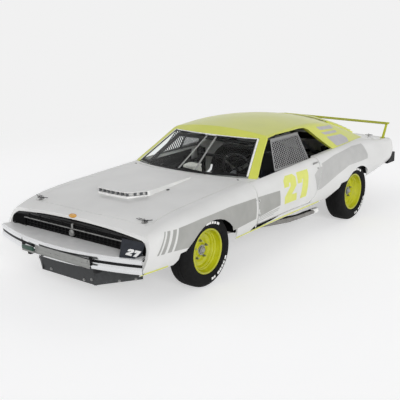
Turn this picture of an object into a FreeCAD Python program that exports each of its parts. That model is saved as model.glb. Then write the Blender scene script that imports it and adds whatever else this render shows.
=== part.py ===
"""A 1970s two-door stock car, built as separate panels, glass, running gear and wheels.

Millimetres. +X is the car's left, +Y points to the rear, +Z is up. The origin lies on the ground
under the centre of the car. Left-hand drive; the pieces of the right side are mirrored from the left
unless the real car differs there.
"""

import FreeCAD, Part

import math
import os

V = FreeCAD.Vector
os.makedirs("parts", exist_ok=True)

# ---------------------------------------------------------------- driving dimensions
FRONT_AXLE_Y = -1545.0
WHEELBASE = 2790.0
REAR_AXLE_Y = FRONT_AXLE_Y + WHEELBASE
NOSE_Y = -2600.0          # foremost point of the front bumper
TAIL_Y = 2600.0           # rearmost point of the rear bumper

TYRE_RADIUS = 341.0
FRONT_RIM_X = 906.0       # outer lip of the front rims
REAR_RIM_X = 938.0        # outer lip of the rear rims
RIM_WIDTH = 200.0

PANEL_THICKNESS = 28.0    # fenders, hood, deck and quarters, with their inner stiffening
ARCH_THICKNESS = 6.0      # body side where a wheel turns behind it
DOOR_THICKNESS = 96.0
ROOF_THICKNESS = 36.0
SHUT_GAP = 6.0            # gap round a panel that opens
SEAM_GAP = 0.3            # gap between panels that are bolted together
PART_CLEARANCE = 0.3      # between pieces of one body that seat on each other

DOOR_FRONT_Y = -760.0
DOOR_REAR_Y = 470.0
SILL_TOP_Z = 410.0
HOOD_FRONT_Y = -2165.0
HOOD_REAR_Y = -872.0
HOOD_HALF_WIDTH = 732.0
HOOD_CORNER_Y = HOOD_REAR_Y + 115.0
DECK_FRONT_Y = 2010.0
DECK_HALF_WIDTH = 800.0
DECK_REAR_Y = 2398.0

# Lower body: cross-sections along Y. The corner is where the top and the side would meet.
# y, corner_x, corner_z, round, wide_x, wide_z, low_x, low_z, centre_z
BODY_SECTIONS = (
    (-2440, 842, 560, 40, 882, 470, 852, 345, 580),
    (-2150, 868, 686, 55, 922, 515, 884, 345, 728),
    (-1545, 884, 764, 75, 962, 560, 905, 345, 802),
    (-760, 866, 812, 75, 930, 575, 884, 346, 850),
    (450, 868, 866, 60, 934, 590, 886, 362, 893),
    (1245, 882, 896, 55, 975, 620, 905, 405, 925),
    (2000, 866, 852, 45, 946, 620, 890, 485, 874),
    (2520, 852, 808, 40, 898, 600, 866, 545, 824),
)
# Cabin: cross-sections along Y, from the windscreen's foot to the deck.
# y, foot_x, foot_z, corner_x, corner_z, round, centre_z
CABIN_SECTIONS = (
    (-950, 738, 800, 588, 1118, 45, 1180),
    (-200, 822, 800, 622, 1162, 45, 1224),
    (400, 830, 800, 640, 1190, 45, 1266),
    (950, 880, 800, 634, 1160, 50, 1238),
    (1350, 886, 800, 628, 1078, 50, 1165),
    (2050, 800, 790, 672, 843, 30, 866),
)
# The windscreen is an arc in plan, swept up its own slope.
SCREEN_FOOT_Z = 810.0
SCREEN_FOOT_Y = -905.0
SCREEN_RADIUS = 1380.0
SCREEN_SLOPE = V(0, 585, 340)
# Its opening as seen from the front, (half-width, z), and the height of the arched head over the middle.
SCREEN_OPENING_FOOT = (802.0, 700.0)
SCREEN_OPENING_HEAD = (560.0, 1147.0)
SCREEN_CROWN_Z = 1156.0


# ---------------------------------------------------------------- small helpers
def box(x0, x1, y0, y1, z0, z1):
    return Part.makeBox(x1 - x0, y1 - y0, z1 - z0, V(x0, y0, z0))


def rod(start, end, radius):
    """A round bar between two points."""
    a, b = V(*start), V(*end)
    return Part.makeCylinder(radius, (b - a).Length, a, b - a)


def ring(start, end, outer, inner):
    return rod(start, end, outer).cut(rod(start, end, inner))


def bent_bar(points, radius):
    """A round bar along straight runs, with a ball at each bend."""
    runs = [rod(a, b, radius) for a, b in zip(points, points[1:])]
    balls = [Part.makeSphere(radius, V(*p)) for p in points[1:-1]]
    return runs[0].multiFuse(runs[1:] + balls) if len(runs) > 1 else runs[0]


def polygon(points):
    return Part.Face(Part.makePolygon([V(*p) for p in points] + [V(*points[0])]))


def side_prism(outline, x0, x1):
    """An outline of (y, z) points, carried across the car."""
    return polygon([(x0, y, z) for y, z in outline]).extrude(V(x1 - x0, 0, 0))


def plan_prism(outline, z0, z1):
    """An outline of (x, y) points, carried upwards."""
    return polygon([(x, y, z0) for x, y in outline]).extrude(V(0, 0, z1 - z0))


def front_prism(outline, y0, y1):
    """An outline of (x, z) points, carried along the car."""
    return polygon([(x, y0, z) for x, z in outline]).extrude(V(0, y1 - y0, 0))


def both_sides(outline):
    """A left half-outline of (x, along) points, closed by its mirror image."""
    return list(outline) + [(-x, s) for x, s in reversed(outline)]


def mirrored(shape):
    return shape.mirror(V(0, 0, 0), V(1, 0, 0))


def moved(shape, x=0.0, y=0.0, z=0.0):
    copy = shape.copy()
    copy.translate(V(x, y, z))
    return copy


def fused(shapes):
    shapes = list(shapes)
    return shapes[0].multiFuse(shapes[1:]).removeSplitter() if len(shapes) > 1 else shapes[0]


def turned(profile, centre):
    """A closed (x, radius) profile, revolved about the car's cross axis through a wheel centre."""
    face = polygon([(x, centre[0], centre[1] + r) for x, r in profile])
    return face.revolve(V(0, centre[0], centre[1]), V(1, 0, 0), 360)


def arc(a, b, c):
    return Part.Arc(V(*a), V(*b), V(*c)).toShape()


def line(a, b):
    return Part.LineSegment(V(*a), V(*b)).toShape()


BUILT = {}


def write(name, *shapes):
    """Writes the solids of one named piece."""
    solids = [s for shape in shapes for s in shape.Solids]
    if not solids:
        raise ValueError("no solid in " + name)
    shape = solids[0] if len(solids) == 1 else Part.makeCompound(solids)
    if not shape.isValid():
        print("not valid:", name)
    BUILT[name] = shape
    shape.exportStep("parts/" + name + ".step")


# ---------------------------------------------------------------- body surfaces
def bow_radius(depth, half_width):
    return (half_width**2 + depth**2) / (2 * depth)


def body_section(row, inset, open_below):
    """One closed cross-section: a crowned top, rounded shoulders and sides that bulge to their widest line."""
    y, cx, cz, r, wx, wz, lx, lz, top = row
    cx, cz, wx, lx, top = cx - inset, cz - inset, wx - inset, lx - inset, top - inset
    lz -= open_below
    wz = min(wz, cz - r - 15.0)
    crown = bow_radius(top - cz, cx)
    inner_x = cx - r
    p1 = (inner_x, top - crown + math.sqrt(crown**2 - inner_x**2))
    upper = ((wx - cx) ** 2 + (cz - wz) ** 2) / (2 * (wx - cx))
    lower = ((wx - lx) ** 2 + (wz - lz) ** 2) / (2 * (wx - lx))

    def side(z, radius):
        return wx - radius + math.sqrt(radius**2 - (z - wz) ** 2)

    p2 = (side(cz - r, upper), cz - r)
    corner = V(cx, 0, cz)
    to_top, to_side = V(p1[0], 0, p1[1]) - corner, V(p2[0], 0, p2[1]) - corner
    half = to_top.getAngle(to_side) / 2
    share = (math.cos(half) - math.tan(half) * (1 / math.sin(half) - 1)) / math.cos(half)
    base = V((p1[0] + p2[0]) / 2, 0, (p1[1] + p2[1]) / 2)
    mid = base + (corner - base) * share
    z_up, z_low = (p2[1] + wz) / 2, (wz + lz) / 2

    def edges(s):
        return [
            arc((s * p1[0], y, p1[1]), (s * mid.x, y, mid.z), (s * p2[0], y, p2[1])),
            arc((s * p2[0], y, p2[1]), (s * side(z_up, upper), y, z_up), (s * wx, y, wz)),
            arc((s * wx, y, wz), (s * side(z_low, lower), y, z_low), (s * lx, y, lz)),
        ]

    top_edge = arc((-p1[0], y, p1[1]), (0, y, top), (p1[0], y, p1[1]))
    right = edges(-1)
    return Part.Wire([top_edge] + edges(1) + [line((lx, y, lz), (-lx, y, lz))] + right[::-1])


def hull(inset=0.0, open_below=0.0):
    return Part.makeLoft([body_section(row, inset, open_below) for row in BODY_SECTIONS], True, False)


def cabin_section(row, inset):
    y, fx, fz, cx, cz, r, top = row
    fx, cx, cz, top = fx - inset, cx - inset, cz - inset, top - inset
    crown = bow_radius(top - cz, cx)
    inner_x = cx - r
    p1 = V(inner_x, y, top - crown + math.sqrt(crown**2 - inner_x**2))
    corner, foot = V(cx, y, cz), V(fx, y, fz)
    p2 = corner + (foot - corner).normalize() * r
    half = (p1 - corner).getAngle(p2 - corner) / 2
    share = (math.cos(half) - math.tan(half) * (1 / math.sin(half) - 1)) / math.cos(half)
    base = (p1 + p2) * 0.5
    mid = base + (corner - base) * share

    def flip(p):
        return V(-p.x, p.y, p.z)

    return Part.Wire([
        Part.Arc(flip(p1), V(0, y, top), p1).toShape(),
        Part.Arc(p1, mid, p2).toShape(),
        Part.LineSegment(p2, foot).toShape(),
        Part.LineSegment(foot, flip(foot)).toShape(),
        Part.LineSegment(flip(foot), flip(p2)).toShape(),
        Part.Arc(flip(p2), flip(mid), flip(p1)).toShape(),
    ])


def cabin(inset=0.0):
    return Part.makeLoft([cabin_section(row, inset) for row in CABIN_SECTIONS], True, False)


def ahead_of_screen(shift=0.0, z0=700.0):
    """The space in front of the windscreen's outer face, moved rearwards by a shift."""
    rise = SCREEN_SLOPE * ((z0 - SCREEN_FOOT_Z) / SCREEN_SLOPE.z)
    y0 = SCREEN_FOOT_Y + rise.y + shift
    reach = 1000.0
    back = SCREEN_RADIUS - math.sqrt(SCREEN_RADIUS**2 - reach**2)
    front = y0 - 1500.0
    wire = Part.Wire([
        arc((-reach, y0 + back, z0), (0, y0, z0), (reach, y0 + back, z0)),
        line((reach, y0 + back, z0), (reach, front, z0)),
        line((reach, front, z0), (-reach, front, z0)),
        line((-reach, front, z0), (-reach, y0 + back, z0)),
    ])
    return Part.Face(wire).extrude(SCREEN_SLOPE * ((1500.0 - z0) / SCREEN_SLOPE.z))


def screen_opening(shrink):
    """The windscreen's opening, carried back along the car, with its sides and head moved in."""
    (foot_x, foot_z), (head_x, head_z) = SCREEN_OPENING_FOOT, SCREEN_OPENING_HEAD
    foot_x, head_x, head_z, crown_z = foot_x - shrink, head_x - shrink, head_z - shrink, SCREEN_CROWN_Z - shrink
    front = -1300.0
    wire = Part.Wire([
        line((foot_x, front, foot_z), (head_x, front, head_z)),
        arc((head_x, front, head_z), (0, front, crown_z), (-head_x, front, head_z)),
        line((-head_x, front, head_z), (-foot_x, front, foot_z)),
        line((-foot_x, front, foot_z), (foot_x, front, foot_z)),
    ])
    return Part.Face(wire).extrude(V(0, 1180, 0))


OUTER = hull()
PANEL_INNER = hull(PANEL_THICKNESS, 100.0)
ARCH_INNER = hull(ARCH_THICKNESS, 100.0)
DOOR_INNER = hull(DOOR_THICKNESS, 100.0)

# The nose and the tail lean. Outlines in (y, z) of what is cut away in front and behind.
NOSE_LINE = [(-2285, 640), (-2410, 340), (-2700, 300), (-2700, 900), (-2270, 900)]
NOSE_SPACE = side_prism(NOSE_LINE, -1100, 1100)
TAIL_TOP, TAIL_MIDDLE, TAIL_FOOT = (2430, 830), (2400, 665), (2225, 505)


def tail_space(shift):
    """The space behind the tail's leaning face, moved rearwards by a shift."""
    face = [(2398, 900), TAIL_TOP, TAIL_MIDDLE, TAIL_FOOT]
    return side_prism([(y + shift, z) for y, z in face] + [(2800, 480), (2800, 900)], -1100, 1100)


# Wheel openings in the body side, (y, z) with an arc over the top.
FRONT_ARCH = {
    "start": (FRONT_AXLE_Y - 530, 300), "rise": (FRONT_AXLE_Y - 255, 525), "crown": (FRONT_AXLE_Y - 15, 636),
    "fall": (FRONT_AXLE_Y + 325, 505), "end": (FRONT_AXLE_Y + 385, 300),
}
REAR_ARCH = {
    "start": (REAR_AXLE_Y - 765, 300), "rise": (REAR_AXLE_Y - 200, 515), "crown": (REAR_AXLE_Y + 100, 640),
    "fall": (REAR_AXLE_Y + 315, 545), "end": (REAR_AXLE_Y + 380, 300),
}


def arch_prism(arch, x0, x1):
    def at(key):
        return (x0, arch[key][0], arch[key][1])

    wire = Part.Wire([
        line(at("start"), at("rise")),
        arc(at("rise"), at("crown"), at("fall")),
        line(at("fall"), at("end")),
        line(at("end"), at("start")),
    ])
    return Part.Face(wire).extrude(V(x1 - x0, 0, 0))


WHEELHOUSE_RADIUS = 432.0
REAR_WHEELHOUSE_RADIUS = 372.0
WHEELHOUSE_INNER_X = 470.0
REAR_WHEELHOUSE_INNER_X = 590.0


def wheelhouses():
    """The room behind the body side in which each left wheel turns."""
    z = TYRE_RADIUS
    front = rod((WHEELHOUSE_INNER_X, FRONT_AXLE_Y, z), (1000, FRONT_AXLE_Y, z), WHEELHOUSE_RADIUS)
    rear = rod((REAR_WHEELHOUSE_INNER_X, REAR_AXLE_Y, z), (1000, REAR_AXLE_Y, z), REAR_WHEELHOUSE_RADIUS)
    return front.fuse(rear)


WHEEL_ROOM = wheelhouses()
ARCH_CUTS = fused([arch_prism(FRONT_ARCH, 500, 1100), arch_prism(REAR_ARCH, 500, 1100)])
ARCH_CUTS = ARCH_CUTS.fuse(WHEEL_ROOM.common(ARCH_INNER))
ARCH_CUTS = ARCH_CUTS.fuse(mirrored(ARCH_CUTS))

TAIL_THICKNESS = 25.0
SKIN = OUTER.cut(PANEL_INNER).cut(NOSE_SPACE).cut(ARCH_CUTS).cut(tail_space(-TAIL_THICKNESS - SEAM_GAP))

# ---------------------------------------------------------------- panel outlines, all in plan (x, y)
# The cabin's opening in the lower body stays inside the foot of the roof's pillars.
COCKPIT = both_sides([(0, -826), (380, -772), (690, -640), (765, -560), (778, 450), (790, 900), (762, 1350),
                      (700, 1650), (640, 1905), (0, 1905)])
HOOD_LINE = both_sides([(0, HOOD_FRONT_Y - 25), (560, HOOD_FRONT_Y), (HOOD_HALF_WIDTH - 20, HOOD_FRONT_Y + 20),
                        (HOOD_HALF_WIDTH, HOOD_FRONT_Y + 60), (HOOD_HALF_WIDTH, HOOD_CORNER_Y),
                        (HOOD_HALF_WIDTH - 72, HOOD_CORNER_Y), (320, HOOD_REAR_Y), (0, HOOD_REAR_Y)])
DECK_LINE = both_sides([(0, DECK_FRONT_Y), (DECK_HALF_WIDTH - 150, DECK_FRONT_Y),
                        (DECK_HALF_WIDTH, DECK_FRONT_Y + 90), (DECK_HALF_WIDTH, 2700), (0, 2700)])
# Outline of the left door, (y, z).
DOOR_LINE = [(DOOR_FRONT_Y, 1000), (DOOR_FRONT_Y, 560), (DOOR_FRONT_Y + 22, SILL_TOP_Z),
             (DOOR_REAR_Y - 210, SILL_TOP_Z), (DOOR_REAR_Y - 120, 465), (DOOR_REAR_Y - 60, 560),
             (DOOR_REAR_Y, 720), (DOOR_REAR_Y + 12, 1000)]


def grown(outline, gap):
    """An outline moved outwards by a gap, by mitred corners. The outline may run either way round."""
    n = len(outline)
    following = outline[1:] + outline[:1]
    area = sum(a[0] * b[1] - b[0] * a[1] for a, b in zip(outline, following))
    sign = 1.0 if area > 0 else -1.0
    points = []
    for i in range(n):
        a, b, c = outline[i - 1], outline[i], outline[(i + 1) % n]
        u = ((b[0] - a[0]), (b[1] - a[1]))
        w = ((c[0] - b[0]), (c[1] - b[1]))
        lu, lw = math.hypot(*u), math.hypot(*w)
        if lu < 1e-6 or lw < 1e-6:
            continue
        nu = (sign * u[1] / lu, -sign * u[0] / lu)
        nw = (sign * w[1] / lw, -sign * w[0] / lw)
        k = 1 + nu[0] * nw[0] + nu[1] * nw[1]
        points.append((b[0] + gap * (nu[0] + nw[0]) / k, b[1] + gap * (nu[1] + nw[1]) / k))
    return points


def tidy(outline):
    """An outline without repeated points."""
    kept = []
    for p in outline:
        if not kept or math.hypot(p[0] - kept[-1][0], p[1] - kept[-1][1]) > 1e-6:
            kept.append(p)
    if math.hypot(kept[0][0] - kept[-1][0], kept[0][1] - kept[-1][1]) < 1e-6:
        kept.pop()
    return kept


COCKPIT, HOOD_LINE, DECK_LINE = tidy(COCKPIT), tidy(HOOD_LINE), tidy(DECK_LINE)

COCKPIT_SPACE = plan_prism(COCKPIT, 640, 1400)
HOOD_SPACE = plan_prism(HOOD_LINE, 600, 1000)
HOOD_GAP = plan_prism(grown(HOOD_LINE, SHUT_GAP), 600, 1000)
DECK_SPACE = plan_prism(DECK_LINE, 740, 1000)
DECK_GAP = plan_prism(grown(DECK_LINE, SHUT_GAP), 740, 1000)
DOOR_SPACE = side_prism(DOOR_LINE, 700, 1100)
DOOR_GAP = side_prism(grown(DOOR_LINE, SHUT_GAP), 700, 1100)
DOOR_GAPS = DOOR_GAP.fuse(mirrored(DOOR_GAP))

# ---------------------------------------------------------------- door hinges
HINGE_DEPTH = 16.0        # hinge axis inside the body side's widest line
HINGE_SETBACK = 22.0      # hinge axis behind the door's front edge
HINGE_X = 930.0 - HINGE_DEPTH
HINGE_Y = DOOR_FRONT_Y + HINGE_SETBACK
HINGE_PIN_RADIUS = 5.0
HINGE_EYE_RADIUS = 10.0
HINGE_CLEARANCE = 0.08
HINGE_HEIGHTS = (505.0, 640.0)
HINGE_HALF_HEIGHT = 8.0
HINGE_STRAP_HALF = 5.0
HINGE_POST_X = 800.0      # outer face of the post that carries the door


def hinge_eyes():
    """Two plates from the post out to the door's pin."""
    plates = []
    for z in HINGE_HEIGHTS:
        low, high = z - HINGE_HALF_HEIGHT, z + HINGE_HALF_HEIGHT
        strap = box(HINGE_POST_X - 20, HINGE_X, HINGE_Y - HINGE_STRAP_HALF, HINGE_Y + HINGE_STRAP_HALF, low,
                    high)
        eye = rod((HINGE_X, HINGE_Y, low), (HINGE_X, HINGE_Y, high), HINGE_EYE_RADIUS)
        bore = HINGE_PIN_RADIUS + HINGE_CLEARANCE
        hole = rod((HINGE_X, HINGE_Y, low - 1), (HINGE_X, HINGE_Y, high + 1), bore)
        plates.append(strap.fuse(eye).cut(hole))
    return plates


def hinge_pockets():
    """The room in the door for the plates, with the pin left standing in it."""
    pockets = []
    for z in HINGE_HEIGHTS:
        low, high = z - HINGE_HALF_HEIGHT - 4, z + HINGE_HALF_HEIGHT + 4
        slot = box(HINGE_X - 200, HINGE_X + 5, DOOR_FRONT_Y - 20, HINGE_Y, low, high)
        slot = slot.fuse(box(HINGE_X - 200, HINGE_X, HINGE_Y - 1, HINGE_Y + 14, low, high))
        round_end = rod((HINGE_X, HINGE_Y, low), (HINGE_X, HINGE_Y, high), HINGE_EYE_RADIUS + 3)
        pin = rod((HINGE_X, HINGE_Y, low - 1), (HINGE_X, HINGE_Y, high + 1), HINGE_PIN_RADIUS)
        pockets.append(slot.fuse(round_end).cut(pin))
    return pockets


# The fender's rear edge clears the circle that the door's front corner swings on.
SWING_RADIUS = math.hypot(HINGE_DEPTH, HINGE_SETBACK) + SHUT_GAP
SWING_ROOM = rod((HINGE_X, HINGE_Y, 380), (HINGE_X, HINGE_Y, 1000), SWING_RADIUS)
SWING_ROOMS = SWING_ROOM.fuse(mirrored(SWING_ROOM))

# ---------------------------------------------------------------- lid hinges
HOOD_HINGE_DROP = 4.0     # hood hinge axis below the hood's outer face
HOOD_HINGE_SETBACK = 8.0  # hood hinge axis inside the hood's rear corners
DECK_HINGE_DROP = 13.0
DECK_HINGE_SETBACK = 26.0
LID_PIN_RADIUS = 3.5
LID_EYE_RADIUS = 7.5
LID_POST_HALF = 4.0
LID_EYE_HALF = 10.0
LID_POST_HEIGHT = 80.0
LID_EDGE_RADIUS = 31.0    # how far a lid reaches past its own axis
LID_SWING_RADIUS = 36.5   # room round the axis in the fixed panels
HOOD_HINGE_X = 680.0
COWL_GAP = 12.0           # between the hood's rear edge and the cowl, which it swings past
DECK_HINGE_X = 260.0


def top_of(shape, x, y):
    """Height of a shape's upper surface over a point."""
    return line((x, y, 300), (x, y, 2000)).common(shape).BoundBox.ZMax


def hinge_axis(x, y, drop):
    """Where a lid's hinge axis lies, (y, z), a drop below the body's outer face."""
    return y, top_of(OUTER, x, y) - drop


HOOD_HINGE = hinge_axis(HOOD_HINGE_X, HOOD_CORNER_Y - HOOD_HINGE_SETBACK, HOOD_HINGE_DROP)
DECK_HINGE = hinge_axis(DECK_HINGE_X, DECK_FRONT_Y + DECK_HINGE_SETBACK, DECK_HINGE_DROP)

# ---------------------------------------------------------------- body panels
SILL_INNER_X = 820.0      # inner face of the outer sills
DOOR_INNER_LIMIT_X = 812.0
DOOR_STEP = 6.0
DOOR_STEP_X = 895.0
FENDER_REAR_Y = -735.0    # where the fender ends under the windscreen pillar
NOSE_PANEL_HALF_WIDTH = 800.0
NOSE_PANEL_REAR_Y = -2100.0


def make_lower_panels():
    upper = SKIN.cut(COCKPIT_SPACE).cut(HOOD_GAP).cut(DECK_GAP)

    # header panel over the grille
    nose_zone = box(-NOSE_PANEL_HALF_WIDTH, NOSE_PANEL_HALF_WIDTH, -2700, HOOD_FRONT_Y + 60, 520, 1000)
    nose_zone = nose_zone.cut(box(-1000, 1000, -2700, -2100, 300, 585))
    nose = upper.common(nose_zone)
    write("nose_panel", nose)

    # front fenders, from the nose to the door
    fender_zone = box(0.5, 1100, -2700, FENDER_REAR_Y - 20, 300, 1000)
    nose_side = NOSE_PANEL_HALF_WIDTH + SEAM_GAP
    fender_zone = fender_zone.cut(box(-1000, nose_side, -2700, HOOD_FRONT_Y + 61, 300, 1000))
    fender_zone = fender_zone.cut(box(-1000, 700, -2700, 0, 300, 1000))
    fender = upper.common(fender_zone).cut(DOOR_GAP).cut(SWING_ROOM)
    fender = fender.cut(box(0, 1100, -765, -700, 300, SILL_TOP_Z + SEAM_GAP))
    write("front_fender_left", largest(fender))
    write("front_fender_right", mirrored(largest(fender)))

    # cowl: the strip between the hood and the windscreen, and the feet of the windscreen pillars
    cowl_zone = box(-HINGE_POST_X, HINGE_POST_X, HOOD_REAR_Y - 60, -560, 700, 1000)
    for s in (-1, 1):
        edge = sorted((s * 699.7, s * 1100))
        cowl_zone = cowl_zone.cut(box(edge[0], edge[1], -1200, DOOR_FRONT_Y - SHUT_GAP + SEAM_GAP, 300, 1000))
    cowl = SKIN.cut(COCKPIT_SPACE).cut(HOOD_GAP).common(cowl_zone)
    cowl = cowl.cut(plan_prism(grown(HOOD_LINE, COWL_GAP), 700, 1000))
    corner, wide = HOOD_CORNER_Y + SHUT_GAP, HOOD_HALF_WIDTH + SHUT_GAP
    for x0, x1 in ((600, wide), (-wide, -600)):
        cowl = cowl.cut(box(x0, x1, corner - 60, corner, 700, 1000))
    write("cowl", largest(cowl))

    # rear quarters
    quarter_zone = box(SEAM_GAP / 2, 1100, DOOR_REAR_Y - 260, 2600, 300, 1000)
    over_sill = box(0, 1100, DOOR_REAR_Y - 300, DOOR_REAR_Y - 150, 300, SILL_TOP_Z + SEAM_GAP)
    quarter_zone = quarter_zone.cut(over_sill)
    quarter = upper.common(quarter_zone).cut(DOOR_GAP)
    quarter = quarter.cut(side_prism(grown(DOOR_LINE, SHUT_GAP + 5.0), 700, 906))
    quarter = quarter.cut(rod((-800, *DECK_HINGE), (800, *DECK_HINGE), LID_SWING_RADIUS))
    quarter = largest(quarter)
    write("quarter_panel_left", quarter)
    write("quarter_panel_right", mirrored(quarter))

    # outer sills under the doors
    sill_zone = box(700, 1100, -765 + SEAM_GAP, DOOR_REAR_Y - 150 - SEAM_GAP, 300, SILL_TOP_Z - SHUT_GAP)
    sill = largest(OUTER.common(sill_zone).common(box(SILL_INNER_X, 1100, -900, 900, 300, 500)))
    write("rocker_panels", sill, mirrored(sill))

    # tail panel, leaning with the quarters' ends
    tail = OUTER.common(tail_space(-TAIL_THICKNESS)).cut(tail_space(0.0))
    write("tail_panel", largest(tail))


def largest(shape):
    return max(shape.Solids, key=lambda s: s.Volume)


def make_doors():
    slab = OUTER.cut(DOOR_INNER).common(DOOR_SPACE)
    slab = largest(slab.cut(box(0, DOOR_INNER_LIMIT_X, -1000, 1000, 300, 1000)))
    # the rear edge steps back inside, so that it clears the quarter as the door swings
    step = side_prism(DOOR_LINE, 700, DOOR_STEP_X).cut(side_prism(grown(DOOR_LINE, -DOOR_STEP), 600, 1100))
    slab = slab.cut(step.common(box(700, 1100, 200, 1000, 300, 1000)))
    for pocket in hinge_pockets():
        slab = slab.cut(pocket)
    write("door_left", largest(slab))
    write("door_right", mirrored(largest(slab)))


# ---------------------------------------------------------------- hood with its scoop
SCOOP_HALF_WIDTH = 305.0
SCOOP_FRONT_HALF = 190.0  # half the straight front edge; its ends are swept back from here
SCOOP_APEX_Y = -1838.0
SCOOP_CORNER_Y = -1828.0
SCOOP_SIDE_Y = -1640.0
SCOOP_TAIL_INSET = 30.0
SCOOP_TAIL_Y = -1000.0
SCOOP_FRONT_Z = 838.0
SCOOP_TAIL_Z = 846.0
SCOOP_MOUTH = 32.0
SCOOP_MOUTH_DEPTH = 60.0


def lid_hinge(hinge, hinge_x, forward):
    """Eyes standing on the body, and pockets for them in a lid that lies forward (-1 or 1 along Y)."""
    y, z = hinge
    eyes, pockets = [], []
    for x in (-hinge_x, hinge_x):
        low, high = x - LID_EYE_HALF, x + LID_EYE_HALF
        hole = rod((low - 1, y, z), (high + 1, y, z), LID_PIN_RADIUS + HINGE_CLEARANCE)
        post = box(low, high, y - LID_POST_HALF, y + LID_POST_HALF, z - LID_POST_HEIGHT, z)
        eyes.append(post.fuse(rod((low, y, z), (high, y, z), LID_EYE_RADIUS)).cut(hole))
        low, high = low - 5, high + 5
        pin = rod((low - 1, y, z), (high + 1, y, z), LID_PIN_RADIUS)
        behind = y - forward * 60
        slot = box(low, high, min(behind, y + forward * 10), max(behind, y + forward * 10), z - 60, z)
        pockets.append(slot.fuse(rod((low, y, z), (high, y, z), LID_EYE_RADIUS + 2.5)).cut(pin))
    return eyes, pockets


def lid_edge(lid, hinge, forward):
    """A lid whose hinged edge is trimmed to the circle that it turns on."""
    y, z = hinge
    far = y - forward * 300
    behind = box(-1000, 1000, min(y, far), max(y, far), z - 200, z + 200)
    return lid.cut(behind.cut(rod((-1000, y, z), (1000, y, z), LID_EDGE_RADIUS)))


def make_hood():
    panel = largest(OUTER.cut(PANEL_INNER).common(HOOD_SPACE).cut(NOSE_SPACE))
    front_edge = [(0, SCOOP_APEX_Y), (SCOOP_FRONT_HALF, SCOOP_CORNER_Y), (SCOOP_HALF_WIDTH, SCOOP_SIDE_Y)]
    tail = [(SCOOP_HALF_WIDTH - SCOOP_TAIL_INSET, SCOOP_TAIL_Y), (0, SCOOP_TAIL_Y)]
    outline = both_sides(front_edge + tail)
    scoop = plan_prism(tidy(outline), 760, 1000)
    roof_line = [(-2000, SCOOP_FRONT_Z - 6), (SCOOP_APEX_Y, SCOOP_FRONT_Z), (SCOOP_TAIL_Y, SCOOP_TAIL_Z),
                 (-900, 848), (-900, 700), (-2000, 700)]
    scoop = scoop.common(side_prism(roof_line, -500, 500)).cut(PANEL_INNER)
    mouth_x, depth = SCOOP_HALF_WIDTH - 14, SCOOP_MOUTH_DEPTH
    mouth_edge = front_edge[:2] + [(mouth_x, SCOOP_SIDE_Y)]
    ahead = [(x, y - depth) for x, y in mouth_edge]
    behind = [(x, y + depth) for x, y in reversed(mouth_edge)]
    mouth = both_sides(ahead + behind)
    slot = plan_prism(tidy(mouth), SCOOP_FRONT_Z - SCOOP_MOUTH - 5, SCOOP_FRONT_Z - 5)
    hood = panel.fuse(scoop.cut(slot))
    for pocket in lid_hinge(HOOD_HINGE, HOOD_HINGE_X, -1)[1]:
        hood = hood.cut(pocket)
    write("hood", largest(hood))


# ---------------------------------------------------------------- deck lid and wing
WING_HALF = 797.0
WING_Y = 2440.0
WING_Z = 977.0
STRUT_X = 779.0
STRUT_THICKNESS = 12.0


def make_decklid():
    lid = OUTER.cut(PANEL_INNER).common(DECK_SPACE).cut(tail_space(-TAIL_THICKNESS - SHUT_GAP))
    lid = lid.cut(box(-1000, 1000, DECK_REAR_Y, 2700, 500, 1000))
    lid = lid_edge(largest(lid), DECK_HINGE, 1)
    for pocket in lid_hinge(DECK_HINGE, DECK_HINGE_X, 1)[1]:
        lid = lid.cut(pocket)
    write("decklid", largest(lid))
    make_wing()


def make_wing():
    # a thin blade with a turned-up rear lip, on a strut near each end
    outline = [(-44, 8), (-28, 13), (36, 13), (43, 20), (48, 17), (38, 1), (-28, 0)]
    blade = side_prism([(WING_Y + y, WING_Z + z) for y, z in outline], -WING_HALF, WING_HALF)
    half = STRUT_THICKNESS / 2
    strut_outline = [(WING_Y - 140, 790), (WING_Y - 76, 790),
                     (WING_Y + 20, WING_Z + 4), (WING_Y - 26, WING_Z + 4)]
    strut = side_prism(strut_outline, STRUT_X - half, STRUT_X + half)
    foot = box(STRUT_X - 19, STRUT_X + 19, WING_Y - 150, WING_Y - 66, 800, 880)
    foot = foot.common(moved(OUTER, z=6.0))
    stand = largest(strut.fuse(foot).cut(moved(OUTER, z=PART_CLEARANCE)))
    write("rear_wing", largest(blade.fuse(stand).fuse(mirrored(stand))))


# ---------------------------------------------------------------- roof, glass and louvres
# Side window opening, (y, z).
WINDOW_LINE = [(-783, 700), (-575, 848), (-152, 1149), (0, 1166), (440, 1174), (540, 1169), (612, 1139),
               (885, 922), (1169, 700)]
REAR_GLASS = both_sides([(0, 1330), (500, 1330), (585, 1880), (0, 1880)])
LOUVRE_COUNT = 6
LOUVRE_FRONT_Y, LOUVRE_REAR_Y = 1340.0, 1870.0
LOUVRE_CHORD = 78.0
LOUVRE_RISE = 16.0        # slats' front edges above the roof's surface
LOUVRE_THICKNESS = 5.0


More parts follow.
